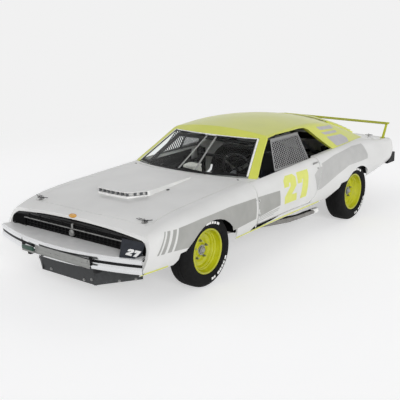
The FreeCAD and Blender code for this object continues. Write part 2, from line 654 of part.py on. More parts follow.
def make_roof():
    outer = cabin().cut(ahead_of_screen())
    inner = cabin(ROOF_THICKNESS).cut(ahead_of_screen(60.0))
    shell = outer.cut(inner)
    shell = shell.cut(screen_opening(0.0))
    shell = shell.cut(side_prism(WINDOW_LINE, -1000, 1000))
    shell = shell.cut(plan_prism(tidy(REAR_GLASS), 700, 1500))
    shell = shell.cut(moved(OUTER, z=PART_CLEARANCE))
    shell = shell.cut(box(-1000, 1000, -1200, 2000, 500, 760))
    for s in (-1, 1):
        x0, x1 = sorted((s * (HINGE_POST_X + 3), s * 1100))
        shell = shell.cut(box(x0, x1, -1000, DOOR_REAR_Y, 700, 900))
    # the tail of the shell ends at the deck lid, clear of the circle that its edge swings on
    shell = shell.cut(DECK_GAP).cut(rod((-900, *DECK_HINGE), (900, *DECK_HINGE), LID_SWING_RADIUS))
    roof = largest(shell)
    write("roof", roof)

    # windscreen: a sheet just inside the opening
    sheet = cabin(4.0).cut(ahead_of_screen(8.0))
    sheet = sheet.common(ahead_of_screen(20.0))
    glass = sheet.common(screen_opening(SEAM_GAP)).cut(moved(OUTER, z=PART_CLEARANCE))
    write("windshield", largest(glass))

    # rear window under the louvres
    rear = cabin(14.0).cut(cabin(20.0))
    zone = plan_prism(grown(tidy(REAR_GLASS), -SEAM_GAP), 700, 1500)
    write("rear_window", largest(rear.common(zone).cut(moved(OUTER, z=2.0))))

    # level slats across the rear window, between two side rails
    skin = cabin()
    rails, slats = [], []
    pitch = (LOUVRE_REAR_Y - LOUVRE_FRONT_Y) / LOUVRE_COUNT
    stations = [LOUVRE_FRONT_Y + pitch * i for i in range(LOUVRE_COUNT + 1)]
    for side in (-1, 1):
        ys = [stations[0], (stations[0] + stations[-1]) / 2, stations[-1]]
        xs = [side * (rear_glass_half(y) - SEAM_GAP) for y in ys]
        zs = [top_of(skin, x, y) for x, y in zip(xs, ys)]
        low = [(x, y, z - 7) for x, y, z in zip(xs, ys, zs)]
        high = [(x, y, z + 20) for x, y, z in zip(xs, ys, zs)]
        rails.append(polygon(low + high[::-1]).extrude(V(-side * 12, 0, 0)))
    for y in stations[:-1]:
        half = rear_glass_half(y) - 6
        edge_z, mid_z = top_of(skin, half, y) + LOUVRE_RISE, top_of(skin, 0, y) + LOUVRE_RISE
        upper = arc((-half, y, edge_z), (0, y, mid_z), (half, y, edge_z))
        edge_z, mid_z = edge_z - LOUVRE_THICKNESS, mid_z - LOUVRE_THICKNESS
        lower = arc((half, y, edge_z), (0, y, mid_z), (-half, y, edge_z))
        ends = [line((s * half, y, edge_z), (s * half, y, edge_z + LOUVRE_THICKNESS)) for s in (1, -1)]
        face = Part.Face(Part.Wire([upper, ends[0], lower, ends[1]]))
        slats.append(face.extrude(V(0, LOUVRE_CHORD, -8)))
    block = fused([rails[0]] + slats + [rails[1]]).cut(roof).cut(moved(OUTER, z=2.0))
    write("rear_louvers", largest(block))
    return roof


def rear_glass_half(y):
    """Half the width of the rear window opening."""
    (x0, y0), (x1, y1) = REAR_GLASS[1], REAR_GLASS[2]
    return x0 + (x1 - x0) * (y - y0) / (y1 - y0)


# ---------------------------------------------------------------- floor, firewall, wheel housings, pillars
FLOOR_TOP_Z = 354.0
FLOOR_THICKNESS = 6.0
TRUNK_FLOOR_Z = 560.0
FLOOR_FRONT_Y = -740.0
KICK_UP_Y = REAR_AXLE_Y - 645.0      # where the floor rises over the rear axle
TRUNK_FRONT_Y = REAR_AXLE_Y - 485.0
TRUNK_REAR_Y = 2250.0
RAIL_REAR_Y = 2200.0
TUNNEL_HALF = 150.0
TUNNEL_TOP_Z = 470.0
FIREWALL_Y = -960.0
COWL_SHELF_Z = 746.0
FRONT_HOUSING_WALL = 5.0


def make_floor():
    t = FLOOR_THICKNESS
    profile = [(FLOOR_FRONT_Y, FLOOR_TOP_Z), (KICK_UP_Y, FLOOR_TOP_Z), (TRUNK_FRONT_Y, TRUNK_FLOOR_Z),
               (TRUNK_REAR_Y, TRUNK_FLOOR_Z), (TRUNK_REAR_Y, TRUNK_FLOOR_Z - t),
               (TRUNK_FRONT_Y + 2, TRUNK_FLOOR_Z - t), (KICK_UP_Y + 2, FLOOR_TOP_Z - t), (FLOOR_FRONT_Y, FLOOR_TOP_Z - t)]
    narrow = REAR_WHEELHOUSE_INNER_X - FRONT_HOUSING_WALL - PART_CLEARANCE
    floor = side_prism(profile, -narrow, narrow)
    wide = SILL_INNER_X - PART_CLEARANCE
    floor = floor.fuse(box(-wide, wide, FLOOR_FRONT_Y, KICK_UP_Y, FLOOR_TOP_Z - t, FLOOR_TOP_Z))
    floor = floor.fuse(box(-835, 835, REAR_AXLE_Y + 400, TRUNK_REAR_Y, TRUNK_FLOOR_Z - t, TRUNK_FLOOR_Z))
    tunnel = box(-TUNNEL_HALF, TUNNEL_HALF, FLOOR_FRONT_Y, TRUNK_FRONT_Y - 40, FLOOR_TOP_Z - t, TUNNEL_TOP_Z)
    room = box(-TUNNEL_HALF + t, TUNNEL_HALF - t, FLOOR_FRONT_Y - 1, TRUNK_FRONT_Y - 48, 300, TUNNEL_TOP_Z - t)
    under_ramp = side_prism([(KICK_UP_Y + 2, 300), (KICK_UP_Y + 2, FLOOR_TOP_Z - t),
                             (TRUNK_FRONT_Y + 2, TRUNK_FLOOR_Z - t), (TRUNK_FRONT_Y + 2, 300)], -200, 200)
    floor = floor.fuse(tunnel.cut(under_ramp)).cut(room)
    write("floor_pan", largest(floor))

    # firewall with the shelf that carries the hood's hinges
    wall = box(-780, 780, FIREWALL_Y, FIREWALL_Y + 6, FLOOR_TOP_Z - t, COWL_SHELF_Z)
    toe = box(-780, 780, FIREWALL_Y, FLOOR_FRONT_Y - SEAM_GAP, FLOOR_TOP_Z - t, FLOOR_TOP_Z)
    shelf = box(-725, 725, FIREWALL_Y, -800, COWL_SHELF_Z - 6, COWL_SHELF_Z)
    ear_y = HOOD_HINGE[0] + 8
    ears = [box(s * 685 - 40, s * 685 + 40, -801, ear_y, COWL_SHELF_Z - 6, COWL_SHELF_Z) for s in (-1, 1)]
    wall = fused([wall, toe, shelf] + ears)
    wall = wall.cut(box(-TUNNEL_HALF, TUNNEL_HALF, -1000, -700, 300, TUNNEL_TOP_Z))
    for eye in lid_hinge(HOOD_HINGE, HOOD_HINGE_X, -1)[0]:
        wall = wall.fuse(eye)
    write("firewall", largest(wall))

    # cross panel behind the rear window, with the deck lid's hinge eyes
    panel_y, post_foot = DECK_FRONT_Y - 85, DECK_HINGE[1] - LID_POST_HEIGHT
    bridge = [box(-560, 560, panel_y, panel_y + 6, post_foot, 900),
              box(-560, 560, panel_y, DECK_HINGE[0] + 12, post_foot, post_foot + 6)]
    bridge = [b.common(hull(PANEL_THICKNESS + PART_CLEARANCE, 100.0)) for b in bridge]
    bridge = fused(bridge + lid_hinge(DECK_HINGE, DECK_HINGE_X, 1)[0])
    write("deck_hinge_panel", largest(bridge))

    # front hinge posts and rear lock posts of the doors
    low = FLOOR_TOP_Z + PART_CLEARANCE
    post = box(730, HINGE_POST_X, HINGE_Y - 25, HINGE_Y + 45, low, 770)
    for plate in hinge_eyes():
        post = post.fuse(plate)
    lock = box(730, HINGE_POST_X, DOOR_REAR_Y + 15, DOOR_REAR_Y + 75, low, 800)
    write("door_pillars", post, lock, mirrored(post), mirrored(lock))

    # wheel housings: a band round each wheel's room, with its inner wall
    inner = hull(PANEL_THICKNESS + PART_CLEARANCE, 100.0)
    front_band = housing(FRONT_AXLE_Y, WHEELHOUSE_RADIUS, WHEELHOUSE_INNER_X, 570.0)
    under_hood = HOOD_GAP.cut(hull(PANEL_THICKNESS + SHUT_GAP, 100.0))
    front_band = largest(front_band.common(inner).cut(under_hood).cut(box(0, 1000, -1113, -900, 300, 2000)))
    rear_band = housing(REAR_AXLE_Y, REAR_WHEELHOUSE_RADIUS, REAR_WHEELHOUSE_INNER_X, TRUNK_FLOOR_Z - 60)
    rear_band = largest(rear_band.common(inner))
    write("wheel_housings", front_band, rear_band, mirrored(front_band), mirrored(rear_band))


def housing(axle_y, radius, inner_x, low_z):
    w = FRONT_HOUSING_WALL
    drum = rod((inner_x - w, axle_y, TYRE_RADIUS), (1000, axle_y, TYRE_RADIUS), radius + w)
    drum = drum.cut(rod((inner_x, axle_y, TYRE_RADIUS), (1001, axle_y, TYRE_RADIUS), radius))
    return drum.common(box(0, 1001, axle_y - 600, axle_y + 600, low_z, 1000))


# ---------------------------------------------------------------- frame, suspension, steering
RAIL_INNER_X, RAIL_OUTER_X = 395.0, 455.0
RAIL_LOW_Z = 290.0
RAIL_TOP_Z = FLOOR_TOP_Z - FLOOR_THICKNESS - PART_CLEARANCE
CROSSMEMBER_LOW_Z = 195.0
TOWER_TOP_Z = 520.0
REAR_RAIL_INNER_X, REAR_RAIL_OUTER_X = 470.0, 530.0
KINGPIN_X = 690.0
KINGPIN_RADIUS = 11.0
KINGPIN_CLEARANCE = 0.08
LOWER_ARM_Z = (195.0, 235.0)
UPPER_ARM_Z = (455.0, 487.0)
STUB_RADIUS = 16.0
STUB_CLEARANCE = 0.08
HUB_DEPTH = 76.0          # from the rim's outer lip back to the hub's face
HUB_LENGTH = 114.0
LEAF_THICKNESS = 24.0
AXLE_TUBE_RADIUS = 42.0
DIFF_RADIUS = 125.0
DIFF_HALF = 100.0
DIFF_CHAMFER = 34.0
DIFF_NOSE = 50.0
DIFF_REACH = 210.0


def wishbone(root_x, root_half, tip_x, tip_half):
    """A control arm's outline in plan."""
    y = FRONT_AXLE_Y
    return [(root_x, y - root_half), (root_x, y + root_half), (tip_x, y + tip_half), (tip_x, y - tip_half)]


def make_frame():
    parts, rail_end = [], KICK_UP_Y - 40
    cross_front, cross_rear = FRONT_AXLE_Y - 95, FRONT_AXLE_Y + 95
    for s in (-1, 1):
        x0, x1 = sorted((s * RAIL_INNER_X, s * RAIL_OUTER_X))
        parts.append(box(x0, x1, -2330, rail_end, RAIL_LOW_Z, RAIL_TOP_Z))
        parts.append(box(x0, x1, cross_front, cross_rear, 250, TOWER_TOP_Z))
        x0, x1 = sorted((s * RAIL_INNER_X, s * REAR_RAIL_OUTER_X))
        parts.append(box(x0, x1, rail_end - 120, rail_end, RAIL_LOW_Z, RAIL_TOP_Z))
    parts.append(box(-RAIL_OUTER_X, RAIL_OUTER_X, cross_front, cross_rear, CROSSMEMBER_LOW_Z, 260))
    parts.append(box(-RAIL_OUTER_X, RAIL_OUTER_X, -560, -500, 262, RAIL_LOW_Z + 8))
    parts.append(box(-RAIL_OUTER_X, RAIL_OUTER_X, -2330, -2280, RAIL_LOW_Z, RAIL_TOP_Z))
    write("front_frame", fused(parts))

    # rear rails over the axle
    front, top = KICK_UP_Y - 40 + SEAM_GAP, TRUNK_FLOOR_Z - FLOOR_THICKNESS - PART_CLEARANCE
    outline = [(front, RAIL_LOW_Z), (KICK_UP_Y + 40, RAIL_LOW_Z), (TRUNK_FRONT_Y + 70, 460), (RAIL_REAR_Y, 460),
               (RAIL_REAR_Y, top), (TRUNK_FRONT_Y + 8, top), (KICK_UP_Y + 8, RAIL_TOP_Z), (front, RAIL_TOP_Z)]
    rail = side_prism(outline, REAR_RAIL_INNER_X, REAR_RAIL_OUTER_X)
    write("rear_frame", rail, mirrored(rail))

    # control arms with the eyes for the kingpins
    arms, bore = [], KINGPIN_RADIUS + KINGPIN_CLEARANCE
    for low, high, inner in ((LOWER_ARM_Z[0], LOWER_ARM_Z[1], 80), (UPPER_ARM_Z[0], UPPER_ARM_Z[1], 70)):
        zm = (low + high) / 2
        root = RAIL_OUTER_X + PART_CLEARANCE
        outer = wishbone(root, inner, KINGPIN_X, 18)
        gap = wishbone(root + 30, inner - 34, KINGPIN_X - 60, 8)
        arm = plan_prism(outer, zm - 8, zm + 8).cut(plan_prism(gap, zm - 9, zm + 9))
        arm = arm.fuse(rod((KINGPIN_X, FRONT_AXLE_Y, low), (KINGPIN_X, FRONT_AXLE_Y, high), 24))
        arm = arm.cut(rod((KINGPIN_X, FRONT_AXLE_Y, low - 1), (KINGPIN_X, FRONT_AXLE_Y, high + 1), bore))
        arms += [arm, mirrored(arm)]
    write("control_arms", *arms)

    # knuckle: kingpin, upright and stub axle
    low, high = LOWER_ARM_Z[0], UPPER_ARM_Z[1]
    pin = rod((KINGPIN_X, FRONT_AXLE_Y, low), (KINGPIN_X, FRONT_AXLE_Y, high), KINGPIN_RADIUS)
    upright = box(KINGPIN_X - 22, KINGPIN_X + 20, FRONT_AXLE_Y - 30, FRONT_AXLE_Y + 30, LOWER_ARM_Z[1] + 5,
                  UPPER_ARM_Z[0] - 5)
    stub_end = (FRONT_RIM_X - HUB_DEPTH - 6, FRONT_AXLE_Y, TYRE_RADIUS)
    stub = rod((KINGPIN_X, FRONT_AXLE_Y, TYRE_RADIUS), stub_end, STUB_RADIUS)
    lever = box(KINGPIN_X - 20, KINGPIN_X, FRONT_AXLE_Y + 20, FRONT_AXLE_Y + 130, 262, 282)
    knuckle = fused([pin, upright, stub, lever])
    write("knuckle_left", knuckle)
    write("knuckle_right", mirrored(knuckle))

    # rear axle: tube, differential and stub axles
    tube_end = REAR_RIM_X - HUB_DEPTH - HUB_LENGTH - 6
    stub_end = REAR_RIM_X - HUB_DEPTH - 6
    tube = rod((-tube_end, REAR_AXLE_Y, TYRE_RADIUS), (tube_end, REAR_AXLE_Y, TYRE_RADIUS), AXLE_TUBE_RADIUS)
    stubs = rod((-stub_end, REAR_AXLE_Y, TYRE_RADIUS), (stub_end, REAR_AXLE_Y, TYRE_RADIUS), STUB_RADIUS)
    middle = rod((-DIFF_HALF, REAR_AXLE_Y, TYRE_RADIUS), (DIFF_HALF, REAR_AXLE_Y, TYRE_RADIUS), DIFF_RADIUS)
    middle = middle.makeChamfer(DIFF_CHAMFER, middle.Edges)
    nose = box(-DIFF_NOSE, DIFF_NOSE, REAR_AXLE_Y - DIFF_REACH, REAR_AXLE_Y, TYRE_RADIUS - DIFF_NOSE,
               TYRE_RADIUS + DIFF_NOSE)
    write("rear_axle", fused([tube, stubs, middle, nose]))

    # leaf springs, hung from the rear rails and seated under the axle
    low = TYRE_RADIUS - AXLE_TUBE_RADIUS - PART_CLEARANCE
    (fy, fz), (ry, rz), half = (REAR_AXLE_Y - 475, 372), (REAR_AXLE_Y + 635, 410), LEAF_THICKNESS / 2
    upper = arc((475, fy, fz + half), (475, REAR_AXLE_Y, low), (475, ry, rz + half))
    lower = arc((475, fy, fz - half), (475, REAR_AXLE_Y, low - 2 * half), (475, ry, rz - half))
    ends = [line((475, y, z + half), (475, y, z - half)) for y, z in ((fy, fz), (ry, rz))]
    leaf = Part.Face(Part.Wire([upper, ends[1], lower, ends[0]])).extrude(V(50, 0, 0))
    spring = leaf.fuse(rod((475, fy, fz), (525, fy, fz), 22)).fuse(rod((475, ry, rz), (525, ry, rz), 20))
    hanger = box(475, 525, fy - 14, fy + 14, fz, 470).fuse(box(475, 525, ry - 8, ry + 8, rz, 480))
    spring = spring.fuse(hanger).cut(side_prism(grown(outline, PART_CLEARANCE), 400, 600))
    write("leaf_springs", largest(spring), mirrored(largest(spring)))


# ---------------------------------------------------------------- engine, driveline, exhaust, fuel cell
ENGINE_FRONT_Y, ENGINE_REAR_Y = -1900.0, -1180.0
ENGINE_TOP_Z = 735.0
BELLHOUSING_REAR_Y, GEARBOX_REAR_Y = -900.0, -480.0
SHAFT_RADIUS = 36.0
SHAFT_FRONT_Z = 345.0
RADIATOR_FRONT_Y, RADIATOR_REAR_Y = -2150.0, -2090.0
CELL_HALF = 260.0
CELL_LENGTH = 400.0
EXHAUST_RADIUS = 30.0
EXHAUST_Z = 250.0
# Each left-hand pipe: how far inboard and how far down it lies, and where it ends.
EXHAUST_RUNS = ((0, 0, 560), (-82, -40, 540))


def make_running_gear():
    write("engine_block", box(-270, 270, ENGINE_FRONT_Y, ENGINE_REAR_Y, 260 + PART_CLEARANCE, ENGINE_TOP_Z))
    bell = box(-130, 130, ENGINE_REAR_Y + PART_CLEARANCE, BELLHOUSING_REAR_Y, 300, 460)
    box_low = RAIL_LOW_Z + 8 + PART_CLEARANCE
    gearbox = box(-90, 90, BELLHOUSING_REAR_Y, GEARBOX_REAR_Y, box_low, 430)
    write("transmission", fused([bell, gearbox]))
    shaft_end = (0, REAR_AXLE_Y - DIFF_REACH - PART_CLEARANCE, TYRE_RADIUS)
    shaft = rod((0, GEARBOX_REAR_Y, SHAFT_FRONT_Z), shaft_end, SHAFT_RADIUS)
    write("drive_shaft", shaft.cut(box(-200, 200, -600, GEARBOX_REAR_Y + PART_CLEARANCE, 0, 600)))
    cell_top = TRUNK_FLOOR_Z - FLOOR_THICKNESS - PART_CLEARANCE
    write("fuel_cell", box(-CELL_HALF, CELL_HALF, RAIL_REAR_Y - CELL_LENGTH, RAIL_REAR_Y, 300, cell_top))

    # radiator in its support panel
    radiator = box(-350, 350, RADIATOR_FRONT_Y, RADIATOR_REAR_Y, 350, 680)
    support = box(-780, 780, RADIATOR_REAR_Y, RADIATOR_REAR_Y + 6, RAIL_TOP_Z + PART_CLEARANCE, 700)
    support = support.common(hull(PANEL_THICKNESS + PART_CLEARANCE, 100.0))
    support = support.cut(box(-330, 330, RADIATOR_REAR_Y - 5, RADIATOR_REAR_Y + 10, 370, 670))
    support = support.cut(HOOD_GAP.cut(hull(PANEL_THICKNESS + SHUT_GAP, 100.0)))
    write("radiator", radiator.fuse(largest(support)))

    # side exhausts
    pipes = []
    for dx, dz, tip in EXHAUST_RUNS:
        front_z, side_z = EXHAUST_Z + dz * 0.4, EXHAUST_Z + dz
        points = [(330, -1000, front_z), (420, -760, front_z), (700 + dx, -100, side_z),
                  (800 + dx, 160, side_z), (820 + dx, tip, side_z - 4)]
        pipes.append(bent_bar(points, EXHAUST_RADIUS))
    under_floor = FLOOR_TOP_Z - FLOOR_THICKNESS - PART_CLEARANCE
    hangers = [box(700, 716, -80, -64, 250, under_floor), box(640, 656, -80, -64, 215, under_floor)]
    write("exhaust_pipes", fused(pipes + hangers))


# ---------------------------------------------------------------- nose, bumpers, air dam
BUMPER_END_X = 900.0
BUMPER_END_Y = -2425.0
BUMPER_LOW_Z, BUMPER_TOP_Z = 365.0, 500.0
REAR_BUMPER_END = (914.0, 2440.0)
REAR_BUMPER_LOW_Z, REAR_BUMPER_TOP_Z = 508.0, 632.0
REAR_BUMPER_WALL = 14.0
BRACKET_X = 425.0
GRILLE_Y = -2318.0
DAM_HALF = 345.0          # half the width of the air dam's front plate


def bowed_bar(end_x, end_y, face_y, depth, low, high):
    """A bar across the car, bowed in plan, with the same depth all along."""
    outer = arc((-end_x, end_y, low), (0, face_y, low), (end_x, end_y, low))
    back = arc((end_x, end_y + depth, low), (0, face_y + depth, low), (-end_x, end_y + depth, low))
    ends = [line((s * end_x, end_y, low), (s * end_x, end_y + depth, low)) for s in (1, -1)]
    return Part.Face(Part.Wire([outer, ends[0], back, ends[1]])).extrude(V(0, 0, high - low))


def make_ends():
    # chrome channel whose top shelf runs back to the grille
    nose_face = moved(NOSE_SPACE, y=-PART_CLEARANCE)
    front = bowed_bar(BUMPER_END_X, BUMPER_END_Y, NOSE_Y, 260, BUMPER_LOW_Z, BUMPER_TOP_Z)
    wall, low, top = 12.0, BUMPER_LOW_Z, BUMPER_TOP_Z
    hollow = bowed_bar(BUMPER_END_X - wall, BUMPER_END_Y + wall, NOSE_Y + wall, 260, low + wall, top - wall)
    front = front.cut(hollow).common(nose_face)
    limit = bowed_bar(BUMPER_END_X, BUMPER_END_Y + 6, NOSE_Y + 6, 400, 200, 600)
    limit = limit.cut(box(-500, 500, -2330, -2000, 0, 1000))
    brackets = [box(s * BRACKET_X - 22, s * BRACKET_X + 22, -2590, -2330 - PART_CLEARANCE, RAIL_LOW_Z + 10,
                    BUMPER_LOW_Z + 40).common(limit) for s in (-1, 1)]
    write("front_bumper", largest(fused([front] + brackets)))

    # rear bumper: a channel that reaches forward to the tail's leaning face
    end_x, end_y = REAR_BUMPER_END
    wall, low, top = REAR_BUMPER_WALL, REAR_BUMPER_LOW_Z, REAR_BUMPER_TOP_Z
    rear = bowed_bar(end_x, end_y, TAIL_Y, -400, low, top)
    rear = rear.cut(bowed_bar(end_x - wall, end_y - wall, TAIL_Y - wall, -400, low + wall, top - wall))
    write("rear_bumper", largest(rear.common(tail_space(PART_CLEARANCE))))

    # grille plate between the fenders, and the covers over its lamps
    inside = hull(PANEL_THICKNESS + PART_CLEARANCE, 100.0)
    grille = box(-900, 900, GRILLE_Y, GRILLE_Y + 20, 440, 700).common(inside)
    write("grille", largest(grille))
    seat = GRILLE_Y - PART_CLEARANCE
    cover = plan_prism([(640, GRILLE_Y - 28), (834, GRILLE_Y - 8), (834, seat), (640, seat)], 503, 590)
    cover = largest(cover.common(inside))
    write("lamp_covers", cover, mirrored(cover))

    # air dam below the bumper, notched for the bumper's brackets
    dam_top = BUMPER_LOW_Z - PART_CLEARANCE
    front = side_prism([(-2412, 150), (-2398, 150), (-2440, dam_top), (-2454, dam_top)], -DAM_HALF, DAM_HALF)
    dam = [front]
    for s in (-1, 1):
        outline = [(DAM_HALF - 10, -2430), (DAM_HALF, -2412), (682, -2178), (690, -2190)]
        side = plan_prism([(s * x, y) for x, y in outline], 155, 340)
        taper = [(s * DAM_HALF, 100), (s * DAM_HALF, 156), (s * 700, 222), (s * 700, 100)]
        under = front_prism(taper, -2500, -2100)
        dam.append(side.cut(under))
    dam = fused(dam)
    for s in (-1, 1):
        dam = dam.cut(box(s * BRACKET_X - 24, s * BRACKET_X + 24, -2600, -2300, RAIL_LOW_Z + 9, 400))
    write("air_dam", largest(dam))


# ---------------------------------------------------------------- inside
SEAT_X = 390.0
WHEEL_CENTRE = (390.0, -350.0, 820.0)
COLUMN_SLOPE = 16.0       # degrees below level, going forwards
COLUMN_RADIUS = 13.0
STEERING_WHEEL_RADIUS = 185.0
STEERING_RIM_RADIUS = 13.0
SPOKE_RADIUS = 9.0
SEAT_HALF = 225.0
SEAT_BOLSTER = 45.0
HOOP_Y = 430.0            # main hoop of the roll cage
CAGE_RADIUS = 22.0
CAGE_BAR_RADIUS = 19.0
DOOR_BAR_HEIGHTS = (470, 570, 670)


def make_inside():
    front = -800 + PART_CLEARANCE
    dash_outline = [(front, 700), (-560, 700), (-540, 760), (-600, 790), (-700, 796), (front, 775)]
    dash = side_prism(dash_outline, -640, 640)
    write("dashboard", dash)
    axis = V(0, math.cos(math.radians(COLUMN_SLOPE)), math.sin(math.radians(COLUMN_SLOPE)))
    centre = V(*WHEEL_CENTRE)
    foot = centre - axis * 240
    column = Part.makeCylinder(26, 170, foot, axis).fuse(Part.makeCylinder(COLUMN_RADIUS, 245, foot, axis))
    write("steering_column", largest(column.cut(dash)))

    # steering wheel: rim, hub and three spokes
    rim = Part.makeTorus(STEERING_WHEEL_RADIUS, STEERING_RIM_RADIUS, centre, axis)
    hub_end = centre - axis * 30
    wheel = [rim, Part.makeCylinder(40, 30, centre - axis * 45, axis)]
    across = V(1, 0, 0)
    up = axis.cross(across)
    for angle in (90, 210, 330):
        out = across * math.cos(math.radians(angle)) + up * math.sin(math.radians(angle))
        spoke = axis * 30 + out * STEERING_WHEEL_RADIUS
        wheel.append(Part.makeCylinder(SPOKE_RADIUS, spoke.Length, hub_end, spoke))
    shaft_hole = Part.makeCylinder(COLUMN_RADIUS + HINGE_CLEARANCE, 200, centre - axis * 200, axis)
    write("steering_wheel", largest(fused(wheel).cut(shaft_hole)))

    # bucket seat
    low = FLOOR_TOP_Z + PART_CLEARANCE
    x0, x1 = SEAT_X - SEAT_HALF, SEAT_X + SEAT_HALF
    outer = [(-180, low), (260, low), (402, 900), (402, 1010), (330, 1015), (190, 640), (-180, 590)]
    room = [(-200, 490), (190, 460), (232, 480), (352, 1060), (-200, 1060)]
    bucket = side_prism(outer, x0, x1).cut(side_prism(room, x0 + SEAT_BOLSTER, x1 - SEAT_BOLSTER))
    write("driver_seat", largest(bucket))

    # roll cage
    hoop = [(745, HOOP_Y, low), (745, HOOP_Y, 850), (606, HOOP_Y, 1108), (-606, HOOP_Y, 1108),
            (-745, HOOP_Y, 850), (-745, HOOP_Y, low)]
    tubes = [bent_bar(hoop, CAGE_RADIUS)]
    stay_foot = (500, 1450, TRUNK_FLOOR_Z + 26)
    for s in (-1, 1):
        side = [(s * 725, -600, low), (s * 725, -600, 740), (s * 556, -165, 1076), (s * 606, HOOP_Y, 1108)]
        tubes.append(bent_bar(side, CAGE_RADIUS))
        for z in DOOR_BAR_HEIGHTS:
            tubes.append(rod((s * 725, -600, z), (s * 745, HOOP_Y, z), CAGE_BAR_RADIUS))
        foot_x, foot_y, foot_z = stay_foot
        tubes.append(rod((s * 590, HOOP_Y, 1100), (s * foot_x, foot_y, foot_z), CAGE_BAR_RADIUS))
        tubes.append(box(s * foot_x - 40, s * foot_x + 40, foot_y - 40, foot_y + 40,
                         TRUNK_FLOOR_Z + PART_CLEARANCE, TRUNK_FLOOR_Z + 30))
    tubes.append(rod((-556, -165, 1076), (556, -165, 1076), CAGE_RADIUS))
    tubes.append(rod((-745, HOOP_Y, 740), (745, HOOP_Y, 740), CAGE_BAR_RADIUS))
    tubes.append(rod((-745, HOOP_Y, 400), (606, HOOP_Y, 1108), CAGE_BAR_RADIUS))
    write("roll_cage", largest(fused(tubes)))

    # window nets, hung outside the cage
    net = polygon([(779.4, -262, 833), (779.4, 452, 833), (619.6, 452, 1130), (619.6, -105, 1130)])
    net = net.extrude(V(4, 0, 2))
    write("window_nets", net, mirrored(net))


# ---------------------------------------------------------------- wheels and tyres
# Profiles: distance outwards from the outer lip, radius.
WHEEL_PROFILE = (
    (0, 200), (0, 211), (-9, 213), (-15, 203), (-17, 196), (-62, 190), (-76, 168), (70 - RIM_WIDTH, 168),
    (56 - RIM_WIDTH, 190), (17 - RIM_WIDTH, 196), (15 - RIM_WIDTH, 203), (9 - RIM_WIDTH, 213),
    (-RIM_WIDTH, 211), (-RIM_WIDTH, 203), (4 - RIM_WIDTH, 190), (50 - RIM_WIDTH, 182), (66 - RIM_WIDTH, 160), (-112, 160),
    (-118, 120), (-128, 75), (-150, 60), (-190, 60), (-190, 16.08), (-76, 16.08), (-76, 52), (-96, 66),
    (-104, 110), (-94, 150), (-74, 161), (-59, 184), (-20, 190), (-6, 200),
)
TYRE_PROFILE = (
    (-17.6, 196.3), (-15.7, 203.3), (-9.5, 213.8), (0, 216), (9, 235), (15, 258), (16, 272), (11, 292),
    (0, TYRE_RADIUS - 29), (-12, TYRE_RADIUS - 16), (-32, TYRE_RADIUS - 3), (-60, TYRE_RADIUS),
)


def make_wheels():
    tyre = list(TYRE_PROFILE) + [(-RIM_WIDTH - x, r) for x, r in reversed(TYRE_PROFILE)]
    for end, rim_x, axle_y in (("front", FRONT_RIM_X, FRONT_AXLE_Y), ("rear", REAR_RIM_X, REAR_AXLE_Y)):
        centre = (axle_y, TYRE_RADIUS)
        wheel = turned([(rim_x + x, r) for x, r in WHEEL_PROFILE], centre)
        cap = rod((rim_x - HUB_DEPTH, axle_y, TYRE_RADIUS), (rim_x - HUB_DEPTH + 12, axle_y, TYRE_RADIUS), 34)
        disc = ring((rim_x - 182, axle_y, TYRE_RADIUS), (rim_x - 170, axle_y, TYRE_RADIUS), 150, 50)
        wheel = fused([wheel, cap, disc])
        rubber = turned([(rim_x + x, r) for x, r in tyre], centre)
        write(f"wheel_{end}_left", wheel)
        write(f"wheel_{end}_right", mirrored(wheel))
        write(f"tyre_{end}_left", rubber)
        write(f"tyre_{end}_right", mirrored(rubber))


if __name__ == "__main__":
    make_lower_panels()
    make_doors()
    make_hood()
    make_decklid()
    make_roof()
    make_floor()
    make_frame()
    make_running_gear()
    make_ends()
    make_inside()
    make_wheels()
    for name, shape in BUILT.items():
        print(f"{name:22s} solids {len(shape.Solids)} vol {shape.Volume / 1e6:8.2f} L")
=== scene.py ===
"""The stock car's looks: materials, graphics and detailed pieces around the fixed frame.

Metres, +X left, +Y rear, +Z up; lathe profiles are in millimetres.
"""
from math import asin, atan2, cos, hypot, pi, radians, sin

import bmesh
import bpy
from mathutils import Matrix, Vector
from mathutils.bvhtree import BVHTree


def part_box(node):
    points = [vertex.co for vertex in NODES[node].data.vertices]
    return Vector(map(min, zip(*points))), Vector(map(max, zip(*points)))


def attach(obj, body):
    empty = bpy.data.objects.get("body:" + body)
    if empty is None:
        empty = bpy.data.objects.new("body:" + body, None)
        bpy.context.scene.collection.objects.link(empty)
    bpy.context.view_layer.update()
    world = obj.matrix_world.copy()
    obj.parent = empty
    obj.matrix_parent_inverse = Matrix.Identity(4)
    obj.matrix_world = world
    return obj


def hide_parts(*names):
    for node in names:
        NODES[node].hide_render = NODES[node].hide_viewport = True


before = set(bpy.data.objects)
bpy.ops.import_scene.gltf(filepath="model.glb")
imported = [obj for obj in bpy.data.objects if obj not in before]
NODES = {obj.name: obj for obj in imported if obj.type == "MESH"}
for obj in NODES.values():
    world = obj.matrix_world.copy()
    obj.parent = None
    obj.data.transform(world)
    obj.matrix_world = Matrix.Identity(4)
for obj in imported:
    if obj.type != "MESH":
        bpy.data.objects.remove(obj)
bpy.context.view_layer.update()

scene = bpy.context.scene
SIDES = (("left", 1.0), ("right", -1.0))

# ------------------------------------------------------------------ materials


def linear(code):
    """Linear colour of a hex code."""
    parts = [int(code[i:i + 2], 16) / 255 for i in (0, 2, 4)]
    return tuple(p / 12.92 if p <= .04045 else ((p + .055) / 1.055) ** 2.4 for p in parts) + (1.0,)


def fill(made, **values):
    """Sets a node's own settings and its sockets, by name, with _ for a space."""
    for key, value in values.items():
        if hasattr(made, key):
            setattr(made, key, value)
        else:
            made.inputs[key.replace("_", " ")].default_value = value
    return made


